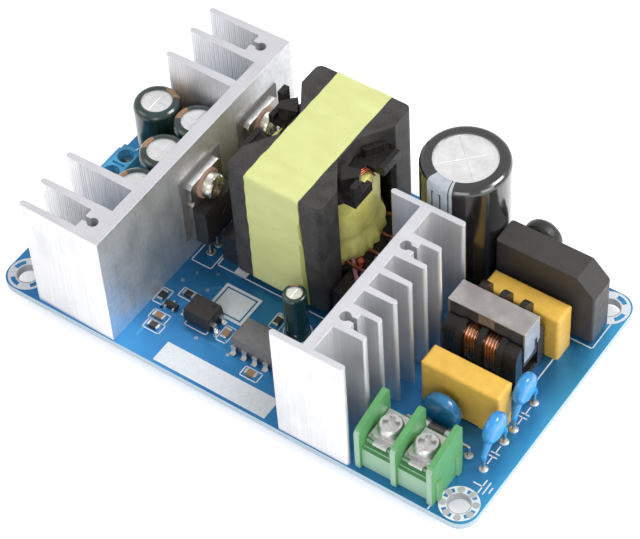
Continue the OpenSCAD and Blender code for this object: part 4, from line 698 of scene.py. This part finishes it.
def board_print():
    """White ink on the board: blank name blocks, outlines of parts and symbols."""
    ink, gap = Shape(), Shape()
    ink.block(-17.1, -31.3, 9.7, -26.2)
    ink.block(-16.0, -15.4, -7.3, -7.8)
    gap.frame(-15.2, -14.6, -8.1, -8.6, 0.35, PRINT_TOP, PRINT_TOP + 0.008)
    gap.piece("print_gap", "hole", "board")
    for box_low, box_high in islands("chip_resistors") + islands("chip_capacitors"):
        wide = box_high.x - box_low.x > box_high.y - box_low.y
        grow = Vector(CHIP_ROOM if wide else CHIP_ROOM[::-1]).to_3d()
        a, b = box_low - grow, box_high + grow
        ink.frame(a.x, a.y, b.x, b.y, FINE)
    opto_low, opto_high = ends("optocoupler_case")
    left, right = opto_low.x + 0.6, opto_high.x - 0.6
    for y, lift in ((opto_low.y - 0.8, 0.9), (opto_high.y + 0.8, -0.9)):
        ink.line((left, y), (right, y), FINE)
        for x in (left, right):
            ink.line((x, y), (x, y + lift), FINE)
    core_low, core_high = ends("core_lower")
    left, y = core_low.x - 4.5, core_low.y - 0.2
    ink.line((left, y), (core_high.x + 6.0, y), LINE)
    ink.line((left, y), (left, y + 3.5), LINE)
    ink.block(core_low.x - 0.5, y, core_low.x + 2.4, y + 2.2)
    case_low, case_high = ends("rectifier_front_case")
    ink.frame(case_low.x - 1, case_low.y - 1.2, case_high.x + 0.6, case_high.y + 1.2, FINE)
    supply = mid("supply_cap_sleeve")
    ink.arc(supply.x, supply.y, 2.75, 3.0, step=10.0)
    choke_low, choke_high = ends("choke_bobbin")
    x = choke_high.x + 1.6
    ink.line((x, choke_low.y - 1.5), (x, choke_high.y + 0.5), LINE)
    bridge_low, bridge_high = ends("bridge_body")
    x, y = bridge_high.x + 0.4, bridge_low.y - 0.5
    ink.line((bridge_low.x, y), (x, y), LINE)
    ink.line((x, y), (x, bridge_high.y + 0.5), LINE)
    x, y = high("input_block").x - 0.9, low("input_block").y
    ink.line((x, y - 0.8), (x, y - 0.1), LINE)
    for node in ("y_cap_front", "y_cap_rear"):
        c = mid(node)
        for side in (-1, 1):
            plate = c.y + side * 0.45
            ink.line((c.x, plate), (c.x, c.y + side * 2.3), FINE)
            ink.line((c.x - 0.8, plate), (c.x + 0.8, plate), LINE)
    ink.line(EARTH - Vector((1.9, 0)), EARTH, BOLD)
    for i, half in enumerate((1.6, 1.4, 0.6)):
        ink.line(EARTH + Vector((0.9 * i, -half)), EARTH + Vector((0.9 * i, half)), BOLD)
    ink.prism([(33.6, -19.9), (34.8, -19.9), (34.2, -18.7)])
    ink.piece("board_print", "white", "board")


MOUNT_INSET = 4.4
MOUNT_RADIUS = 2.2
PLATED_RADIUS = MOUNT_RADIUS - 0.05
LAND_RADIUS = 2.4
SPOKE = 46.0                            # degrees of each of a ring's four spokes
PLAIN_RING = (2.65, 3.6, 4.15, 0.0)     # radii of the windows and the rim, first spoke's angle
STITCHED_RING = (2.65, 3.55, 3.95, 92.0)
STITCH_RADIUS, STITCH_TURN = 3.15, 25.0
STITCH = [(0.05, BOARD_TOP), (0.74, BOARD_TOP), (0.71, BOARD_TOP + 0.06), (0.05, BOARD_TOP + 0.06)]


def mount_rings():
    """Plated mounting holes in printed rings; tin dots stitch the ring beside the mains terminal."""
    ring, tin = Shape(), Shape()
    x1, y1 = high("circuit_board").x - MOUNT_INSET, high("circuit_board").y - MOUNT_INSET
    for sx in (-1, 1):
        for sy in (-1, 1):
            x, y = sx * x1, sy * y1
            stitched = sx > 0 and sy < 0
            inner, outer, edge, first = STITCHED_RING if stitched else PLAIN_RING
            ring.arc(x, y, LAND_RADIUS, inner)
            ring.arc(x, y, outer, edge)
            for k in range(4):
                start = 90.0 * k + first
                ring.arc(x, y, inner, outer, a0=start, a1=start + SPOKE)
            for k in range(8 if stitched else 0):
                t = radians(45.0 * k + STITCH_TURN)
                tin.dome(x + STITCH_RADIUS * cos(t), y + STITCH_RADIUS * sin(t), STITCH, 16)
            tin.arc(x, y, PLATED_RADIUS, MOUNT_RADIUS + 0.03, BOARD_BOTTOM, BOARD_TOP)
            tin.arc(x, y, PLATED_RADIUS, LAND_RADIUS, BOARD_TOP, BOARD_TOP + 0.02)
            tin.arc(x, y, PLATED_RADIUS, 3.9, BOARD_BOTTOM - 0.03, BOARD_BOTTOM)
    ring.piece("mount_print", "white", "board")
    tin.piece("mount_lands", "dull_tin", "solder", smooth=15.0)


FILLET = 0.62       # from a lead's hole to the rim of its solder joint


def top_pads():
    """Solder that has risen through the plated holes, placed and sized by the joints below."""
    pads = Shape()
    for box_low, box_high in islands("solder_joints"):
        c = (box_low + box_high) / 2
        r = (box_high.x - box_low.x) / 2 - FILLET
        pads.dome(c.x, c.y, [
            (r - 0.06, BOARD_TOP), (r + 0.5, BOARD_TOP), (r + 0.46, BOARD_TOP + 0.06),
            (r + 0.2, BOARD_TOP + 0.14), (r - 0.06, BOARD_TOP + 0.2)])
    pads.piece("upper_lands", "solder", "solder")


VIA_INNER, VIA_OUTER, VIA_HEIGHT = 0.16, 0.36, 0.025
VIA_SPOTS = (
    (-24.0, -12.0), (-22.5, -9.0), (-19.0, -7.0), (-18.0, -11.5), (-13.0, -22.5), (-10.2, -20.0),
    (-5.0, -22.6), (6.2, -15.0), (7.4, -21.0), (10.4, -9.0), (10.8, -13.5), (11.2, -24.5),
    (-54.0, -16.0), (-53.0, 14.0), (-50.0, 22.0), (-52.5, -9.5),
)


def vias():
    """Small tinned rings on both faces of the board."""
    rng = random.Random(7)
    rings = Shape()
    for x, y in VIA_SPOTS:
        x += rng.uniform(-0.3, 0.3)
        for z0, z1 in ((BOARD_TOP, BOARD_TOP + VIA_HEIGHT), (BOARD_BOTTOM - VIA_HEIGHT, BOARD_BOTTOM)):
            rings.arc(x, y, VIA_INNER, VIA_OUTER, z0, z1, step=30.0)
    rings.piece("via_rings", "solder", "solder")


COPPER = 0.018      # how far copper stands proud under the mask
FIELD_CORNER = 1.2
TRACKS = (          # start, end and width on the upper face
    ((-23.5, -28.0), (-23.5, -20.0), 0.6), ((-23.5, -20.0), (-17.5, -14.0), 0.6),
    ((-12.0, -22.0), (-4.0, -22.0), 0.6), ((-4.0, -22.0), (-4.0, -20.5), 0.6),
    ((-20.0, -12.5), (-16.5, -9.5), 0.8), ((9.0, -24.0), (9.0, -8.0), 0.8),
    ((-6.0, -20.5), (-9.0, -17.0), 0.5), ((5.5, -12.0), (11.0, -7.5), 0.7),
)
FIELDS = (          # lowest and highest corner on the lower face
    (-54.5, -8.0, -47.0, 7.0), (-43.0, -14.0, -30.0, 14.0), (-26.5, 6.0, -12.0, 26.0),
    (-24.0, -20.0, -8.0, -6.0), (12.0, -26.0, 28.0, -4.0), (14.0, 12.0, 30.0, 30.0),
    (31.0, -30.0, 38.0, -18.0), (40.5, -30.0, 48.0, -18.0), (32.0, -12.0, 48.5, -5.0),
    (32.0, 9.5, 48.5, 16.0), (32.0, 18.0, 53.0, 23.5), (-6.0, -22.0, 8.0, -6.0),
)


def pours():
    """Copper under the mask, a little proud of the laminate, on both faces."""
    copper = Shape()
    for a, b, width in TRACKS:
        copper.line(a, b, width, BOARD_TOP, BOARD_TOP + COPPER)
    c = FIELD_CORNER
    for x0, y0, x1, y1 in FIELDS:
        copper.prism([(x0 + c, y0), (x1 - c, y0), (x1, y0 + c), (x1, y1 - c), (x1 - c, y1), (x0 + c, y1),
                      (x0, y1 - c), (x0, y0 + c)], BOARD_BOTTOM - COPPER, BOARD_BOTTOM)
    copper.piece("copper_pours", "pour", "board")


board_print()
mount_rings()
top_pads()
vias()
pours()

# ---- Heat sink ribs ----

RIB_PITCH = 0.55
RIB_HALF = 0.19
RIB_ROOT = 0.04             # depth of a rib's foot in the fin
RIB_CREST = (0.03, 0.065)   # least and greatest height
RIB_START = 0.4             # from the end of a fin's face to the first rib
RIB_STRAY = 0.05
FIN_REACH = 5.0             # faces shorter than this are tips and screw channels


def fin_ribs():
    """Fine ribs that the extrusion leaves on every fin face of the output sink but the two end ones."""
    ribs = Shape()
    rng = random.Random(17)
    mesh = nodes["output_heatsink"].data
    end = high("output_heatsink").y - 1.0
    faces = {}
    for polygon in mesh.polygons:
        n = polygon.normal
        if abs(n.y) > 0.9 and abs(n.z) < 0.05:
            key = (round(n.y), round(n.dot(mesh.vertices[polygon.vertices[0]].co) / MM, 1))
            faces.setdefault(key, []).extend(mesh.vertices[v].co / MM for v in polygon.vertices)
    for (way, _), points in sorted(faces.items()):
        a, b = min(points, key=lambda p: p.x), max(points, key=lambda p: p.x)
        if b.x - a.x < FIN_REACH or max(abs(a.y), abs(b.y)) > end:
            continue
        z0, z1 = min(p.z for p in points) + 0.02, max(p.z for p in points) - 0.01
        along = Vector((b.x - a.x, b.y - a.y))
        count = int((along.length - RIB_START) / RIB_PITCH)
        along.normalize()
        out = Vector((-along.y, along.x)) * (1 if along.x * way > 0 else -1)
        for k in range(count):
            crest = rng.uniform(*RIB_CREST)
            place = RIB_START + RIB_PITCH * k + rng.uniform(-RIB_STRAY, RIB_STRAY)
            at = Vector((a.x, a.y)) + along * place
            section = [(-RIB_HALF, -RIB_ROOT), (RIB_HALF, -RIB_ROOT), (RIB_HALF, 0.0),
                       (0.5 * RIB_HALF, 0.8 * crest), (0.0, crest), (-0.5 * RIB_HALF, 0.8 * crest),
                       (-RIB_HALF, 0.0)]
            ribs.prism([tuple(at + along * u + out * v) for u, v in section], z0, z1)
    ribs.piece("fin_ribs", "rib", "heatsink")


fin_ribs()

# ---- Capacitors ----

FILM = 0.02                             # thickness of the print on a sleeve
BULK_MOUTH, SMALL_MOUTH = 0.72, 0.66    # share of a sleeve's radius at which its mouth ends
BULK_FOOT, OUTPUT_FOOT, SUPPLY_FOOT = 4.5, 3.5, 2.4     # height at which each stripe starts
BULK_STRIPE, BULK_EDGE = (-113, -75), (-80.5, -79)      # degrees round the sleeve
SUPPLY_STRIPE = (100, 150)
OUTPUT_STRIPE_HALF = 24
MARK_PITCH, MARK_LINE = 9.0, 0.25


def sleeve_patch(shape, box_low, box_high, mouth, foot, a0, a1, proud=FILM):
    """Printed strip from a height up a sleeve's side, over its shoulder and in to its mouth."""
    c = (box_low + box_high) / 2
    radius = (box_high.x - box_low.x) / 2
    edge = min(1.3, 0.8 * radius * (1 - mouth))
    reach, shoulder = edge + proud, box_high.z - edge
    profile = [(radius + proud, box_low.z + foot), (radius + proud, shoulder)]
    for k in (22.5, 45, 67.5, 90):
        t = radians(k)
        profile.append((radius - edge + reach * cos(t), shoulder + reach * sin(t)))
    profile.append((radius * mouth + 0.05, box_high.z + proud))
    section = profile + [(r - FILM, z - FILM) for r, z in reversed(profile)]
    count = max(2, round((a1 - a0) / 4))
    shape.sweep([turned(c.x, c.y, section, radians(a0 + (a1 - a0) * i / count))
                 for i in range(count + 1)], False)


def capacitor_prints():
    """Minus stripes on the sleeves; the big one carries outlined minus marks."""
    grey, black, tan = Shape(), Shape(), Shape()
    bulk = box_low, box_high = ends("bulk_cap_sleeve")
    c = (box_low + box_high) / 2
    r = (box_high.x - box_low.x) / 2
    sleeve_patch(grey, *bulk, BULK_MOUTH, BULK_FOOT, *BULK_STRIPE)
    for k in range(3):
        z0, z1 = box_high.z - 8.6 - MARK_PITCH * k, box_high.z - 2.2 - MARK_PITCH * k
        w0, w1 = z0 + MARK_LINE, z1 - MARK_LINE
        outer = [(-104, z0), (-90, z0), (-90, z1), (-104, z1)]
        inner = [(-102.4, w0), (-91.6, w0), (-91.6, w1), (-102.4, w1)]
        sides = []
        for (a, z), (b, w) in zip(outer, inner):
            far, near = turned(c.x, c.y, [(r + 0.05, z), (r, z)], radians(a))
            sides.append([far, *turned(c.x, c.y, [(r + 0.05, w), (r, w)], radians(b)), near])
        black.sweep(sides, True)
    sleeve_patch(black, *bulk, BULK_MOUTH, BULK_FOOT, *BULK_EDGE, 2 * FILM)
    for box_low, box_high in islands("output_cap_sleeves"):
        turn = 69.0 if (box_low + box_high).x / 2 < -40 else 180.0
        stripe = (turn - OUTPUT_STRIPE_HALF, turn + OUTPUT_STRIPE_HALF)
        sleeve_patch(tan, box_low, box_high, SMALL_MOUTH, OUTPUT_FOOT, *stripe)
    sleeve_patch(tan, *ends("supply_cap_sleeve"), SMALL_MOUTH, SUPPLY_FOOT, *SUPPLY_STRIPE)
    grey.piece("bulk_cap_stripe", "grey_print", "black_sleeve")
    black.piece("bulk_cap_marks", "black_film", "black_sleeve")
    tan.piece("output_cap_stripes", "tan_print", "green_sleeve")


CAN_SIDES = 64
VENT_RADIUS, VENT_SCORE, VENT_DEPTH, VENT_TURN = 6.2, 0.28, 0.16, 45.0
VENT_DISH = (0.10, 0.02, 0.14, 0.06)    # how far each quarter sinks at the middle


def bulk_cap_top():
    """The big can, whose vent score is turned to the photo's angle and whose quarters dish unevenly."""
    can = Shape()
    box_low, box_high = ends("bulk_cap_can")
    c = (box_low + box_high) / 2
    r = (box_high.x - box_low.x) / 2
    z0, z1 = box_low.z, box_high.z
    profile = [(r - 1.4, z0), (r - 0.9, z0 + 0.5), (r - 0.9, z0 + 6.0), (r, z0 + 7.5), (r, z1 - 1.3),
               (r - 0.4, z1 - 0.4), (r - 1.3, z1), (VENT_RADIUS, z1), (VENT_RADIUS, z1 - VENT_DEPTH)]
    angles = [2 * pi * k / CAN_SIDES for k in range(CAN_SIDES)]
    can.sweep([[(c.x + q * cos(t), c.y + q * sin(t), z) for t in angles] for q, z in profile], False)
    start = degrees(asin(VENT_SCORE / 2 / VENT_RADIUS))
    rim = [radians(start + (90 - 2 * start) * k / 12) for k in range(13)]
    flat = [(VENT_SCORE / 2, VENT_SCORE / 2)]
    flat += [(VENT_RADIUS * cos(t), VENT_RADIUS * sin(t)) for t in rim]
    n = len(flat)
    for quarter, dish in enumerate(VENT_DISH):
        t = radians(VENT_TURN + 90 * quarter)
        ring = [(c.x + x * cos(t) - y * sin(t), c.y + x * sin(t) + y * cos(t)) for x, y in flat]
        points = [(x, y, z1 - VENT_DEPTH - 0.05) for x, y in ring]
        points += [(x, y, z1 - (dish if k == 0 else 0.0)) for k, (x, y) in enumerate(ring)]
        faces = [tuple(range(n - 1, -1, -1))] + [(n, n + k, n + k + 1) for k in range(1, n - 1)]
        faces += [(k, (k + 1) % n, n + (k + 1) % n, n + k) for k in range(n)]
        can.shell(points, faces)
    made = can.piece("bulk_cap_top", "can", "can")
    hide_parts("bulk_cap_can")


capacitor_prints()
bulk_cap_top()

# ---- Windings ----

CHOKE_WIRE = 0.54
CHOKE_CORNER = 1.8
QUARTER_POINTS = 10     # points in each corner of a turn
CYCLE = 6.28            # about one turn, for the phases of waves


def rounded_path(half_w, half_h, r, turns):
    """Points round a rounded rectangle in the YZ plane, with the share of the whole run."""
    corners = [(half_w - r, half_h - r, 0), (r - half_w, half_h - r, 90), (r - half_w, r - half_h, 180),
               (half_w - r, r - half_h, 270)]
    loop = []
    for cy, cz, a0 in corners:
        for k in range(QUARTER_POINTS):
            t = radians(a0 + 90 * k / (QUARTER_POINTS - 1))
            loop.append((cy + r * cos(t), cz + r * sin(t)))
    total = turns * len(loop)
    return [(*loop[i % len(loop)], i / total) for i in range(total + 1)]


def choke_turns():
    """The choke's two windings, wound turn by turn, over a solid core of copper."""
    turns = Shape()
    wire = CHOKE_WIRE
    for box_low, box_high in islands("choke_windings"):
        c = (box_low + box_high) / 2
        span = box_high - box_low
        count = int(span.x / wire)
        half_w, half_h = span.y / 2 - wire / 2, span.z / 2 - wire / 2
        start = c.x + (0.15 - count / 2) * wire
        run = (count - 0.15) * wire
        path = rounded_path(half_w, half_h, CHOKE_CORNER, count - 1)
        turns.tube([(start + run * share, c.y + y, c.z + z) for y, z, share in path], wire / 2 * 1.02)
        body = rounded_path(half_w - 0.02, half_h - 0.02, CHOKE_CORNER, 1)[:-1]
        hole = rounded_path(span.y / 2 - 2.05, span.z / 2 - 2.05, 0.3, 1)[:-1]
        x0, x1 = box_low.x + 0.02, box_high.x - 0.02
        rings = []
        for (y, z, _), (hy, hz, _) in zip(body, hole):
            rings.append([(x0, c.y + y, c.z + z), (x1, c.y + y, c.z + z),
                          (x1, c.y + hy, c.z + hz), (x0, c.y + hy, c.z + hz)])
        turns.sweep(rings, True)
    made = turns.piece("choke_turns", "copper", "copper", smooth=60.0)
    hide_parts("choke_windings")


WRAP_ROWS, WRAP_SIDES = 40, 150
WRAP_INNER = 8.05       # outer radius of the bobbin's tube
WRAP_FOOT = 1.1         # how far the foot's folds stand out from the drum


def waved(waves, t, v):
    return sum(a * sin(n * t + p + f * CYCLE * v) for n, p, f, a in waves)


def winding_wrap():
    """Taped transformer winding: a straight drum, creased tape, crumpled where it folds over the foot."""
    wrap = Shape()
    box_low, box_high = ends("transformer_winding")
    c = (box_low + box_high) / 2
    foot = (box_high.x - box_low.x) / 2
    radius = foot - WRAP_FOOT
    height = box_high.z - box_low.z
    rng = random.Random(3)
    waves = [(rng.randint(3, 17), rng.uniform(0, CYCLE), rng.uniform(0.4, 3.0), rng.uniform(0.01, 0.035))
             for _ in range(12)]
    crumples = [(rng.randint(14, 40), rng.uniform(0, CYCLE), rng.uniform(-2.0, 2.0), rng.uniform(0.05, 0.13))
                for _ in range(7)]
    rings = []
    for k in range(WRAP_SIDES):
        t = 2 * pi * k / WRAP_SIDES
        ring = [(WRAP_INNER, box_low.z + 0.05)]
        for i in range(WRAP_ROWS + 1):
            v = i / WRAP_ROWS
            flare = 1.0 - min(1.0, max(0.0, (v - 0.08) / 0.2))
            flare = flare * flare * (3 - 2 * flare)
            shoulder = 0.5 * max(0.0, (v - 0.92) / 0.08) ** 2
            lap = 0.1 if 0.3 < v < 0.86 else 0.0
            r = radius - 0.15 + (foot - radius - 0.25) * flare - shoulder + waved(waves, t, v)
            r += flare * waved(crumples, t, v) + lap
            ring.append((min(foot - 0.02, r), box_low.z + 0.05 + (height - 0.1) * v))
        ring.append((WRAP_INNER, box_high.z - 0.05))
        rings.append(turned(c.x, c.y, ring, t))
    wrap.sweep(rings, True)
    made = wrap.piece("winding_wrap", "wrap", "yellow_tape", smooth=50.0)
    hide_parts("transformer_winding")


LEAD_PITCH, LEAD_RADIUS = 0.42, 0.19


def lead_out_wires():
    """Enamelled leads that come up from the winding through the flange's slot and run under the guide."""
    wires = Shape()
    c = mid("core_lower")
    z = high("transformer_winding").z + 1.4
    for k in range(3):
        x = c.x + 9.75 + LEAD_PITCH * k
        wires.tube([
            (x + 0.9, c.y + 1.9, z - 2.2), (x + 0.45, c.y + 1.6, z - 0.9), (x + 0.1, c.y + 1.0, z - 0.05),
            (x - 0.1, c.y - 0.2, z + 0.12), (x - 0.25, c.y - 1.8, z + 0.1),
            (x - 0.35, c.y - 3.3, z - 0.05 * k),
        ], LEAD_RADIUS)
    wires.piece("lead_out_wires", "enamel", "copper", smooth=60.0)


# From the core's middle, at the height of the winding's foot:
SLEEVE_PATH = (
    (11.0, -6.0, 0.9), (11.8, -6.9, 0.66), (12.6, -7.8, 0.5), (13.5, -8.8, 0.48), (14.4, -9.7, 0.5),
    (15.2, -10.4, 0.42), (15.8, -10.9, -0.2), (16.05, -11.2, -1.4), (16.1, -11.4, -3.2),
)
COIL_START = [(11.6, -4.2, 0.5), (12.0, -4.6, 0.35)]
COIL_END = [(14.1, -7.2, 0.3), (14.6, -7.6, 0.3), (14.75, -7.7, 0.1)]
COIL_TURNS, COIL_POINTS, COIL_RADIUS, COIL_PITCH = 4, 18, 0.72, 0.32


def foot_leads():
    """Sleeved lead and a spare coil of wire that lie on the bobbin's lower flange, beside the winding."""
    sleeve, coil = Shape(), Shape()
    c = mid("core_lower")
    c.z = low("transformer_winding").z
    sleeve.tube([c + Vector(p) for p in SLEEVE_PATH], 0.46, 14)
    spiral = list(COIL_START)
    for k in range(COIL_TURNS * COIL_POINTS + 1):
        t = 2 * pi * k / COIL_POINTS - pi / 2
        along, out = COIL_PITCH * k / COIL_POINTS, COIL_RADIUS * cos(t)
        spiral.append((12.45 + 0.74 * along + 0.67 * out, -5.6 - 0.67 * along + 0.74 * out,
                       0.95 + COIL_RADIUS * sin(t)))
    coil.tube([c + Vector(p) for p in spiral + COIL_END], 0.16)
    sleeve.piece("lead_sleeve", "pink", "pink_sleeve", smooth=60.0)
    coil.piece("lead_coil", "enamel", "copper", smooth=60.0)


TAPE_CORNER = 0.7
TAPE_STEP = 0.7
TAPE_ACROSS = 14
CREASE_ROOM = 0.1       # the creases' height, by which the upper and lower runs lie deeper


def tape_loop(half_y, half_z):
    """Points and outward directions round the tape, corner by corner, in the YZ plane."""
    flat_y, flat_z = half_y - TAPE_CORNER, half_z - TAPE_CORNER
    loop = []
    for side, (cy, cz) in enumerate(((1, 1), (-1, 1), (-1, -1), (1, -1))):
        for k in range(7):
            t = radians(90 * side + 15 * k)
            ny, nz = cos(t), sin(t)
            loop.append((cy * flat_y + TAPE_CORNER * ny, cz * flat_z + TAPE_CORNER * nz, ny, nz))
        y, z, ny, nz = loop[-1]
        level = side % 2 == 0
        length = 2 * (flat_y if level else flat_z)
        count = int(length / TAPE_STEP)
        for k in range(1, count):
            go = length * k / count * (-1 if side in (0, 1) else 1)
            loop.append((y + (go if level else 0), z + (0 if level else go), ny, nz))
    return loop


def tape_band():
    """Tape round the core: soft corners, uneven edges and shallow creases."""
    band = Shape()
    tape_low, tape_high = ends("core_tape")
    core_low, core_high = low("core_lower"), high("core_upper")
    c = (tape_low + tape_high) / 2
    half = (tape_high - tape_low) / 2
    inner = (core_high - core_low) / 2 + Vector((0, 0.01, 0.01))
    loop = tape_loop(half.y, half.z)
    rng = random.Random(11)
    waves = [(rng.randint(4, 40), rng.uniform(0, CYCLE), rng.uniform(0.008, 0.026)) for _ in range(10)]
    creases = [(rng.randint(3, 26), rng.uniform(-3.0, 3.0), rng.uniform(0, CYCLE), rng.uniform(0.004, 0.014))
               for _ in range(9)]
    rings = []
    for i, (y, z, ny, nz) in enumerate(loop):
        t = 2 * pi * i / len(loop)
        left = -half.x + sum(a * sin(n * t + p) for n, p, a in waves)
        right = half.x + sum(a * sin(n * t + 1.7 * p) for n, p, a in waves)
        ring = []
        for k in range(TAPE_ACROSS + 1):
            u = k / TAPE_ACROSS
            lift = max(0.0, 0.03 + sum(a * sin(n * t + f * CYCLE * u + p) for n, f, p, a in creases))
            lift -= CREASE_ROOM * nz ** 8
            ring.append((c.x + left + (right - left) * u, c.y + y + ny * lift, c.z + z + nz * lift))
        hold_y, hold_z = max(-inner.y, min(inner.y, y)), max(-inner.z, min(inner.z, z))
        ring += [(c.x + right, c.y + hold_y, c.z + hold_z), (c.x + left, c.y + hold_y, c.z + hold_z)]
        rings.append(ring)
    band.sweep(rings, True)
    made = band.piece("tape_band", "tape", "yellow_tape", smooth=50.0)
    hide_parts("core_tape")


LAP_ROWS = 14


def tape_lap():
    """Free edge of the outer tape layer, which slants out from under the band on the core's front."""
    lap = Shape()
    tape_low, tape_high = ends("core_tape")
    x, y = tape_high.x, low("core_lower").y
    rng = random.Random(5)
    rings = []
    for k in range(LAP_ROWS + 1):
        share = k / LAP_ROWS
        z = tape_low.z + 0.3 + (tape_high.z - tape_low.z - 7.0) * share
        wide = 0.95 * (1 - share) + rng.uniform(-0.05, 0.05) + 0.08
        rings.append([(x - 0.4, y - 0.3, z), (x - 0.4, y, z), (x + wide, y, z), (x + wide, y - 0.09, z),
                      (x + 0.05, y - 0.3, z)])
    lap.sweep(rings, False)
    lap.piece("tape_lap", "lap", "yellow_tape", smooth=50.0)


choke_turns()
winding_wrap()
lead_out_wires()
foot_leads()
tape_band()
tape_lap()
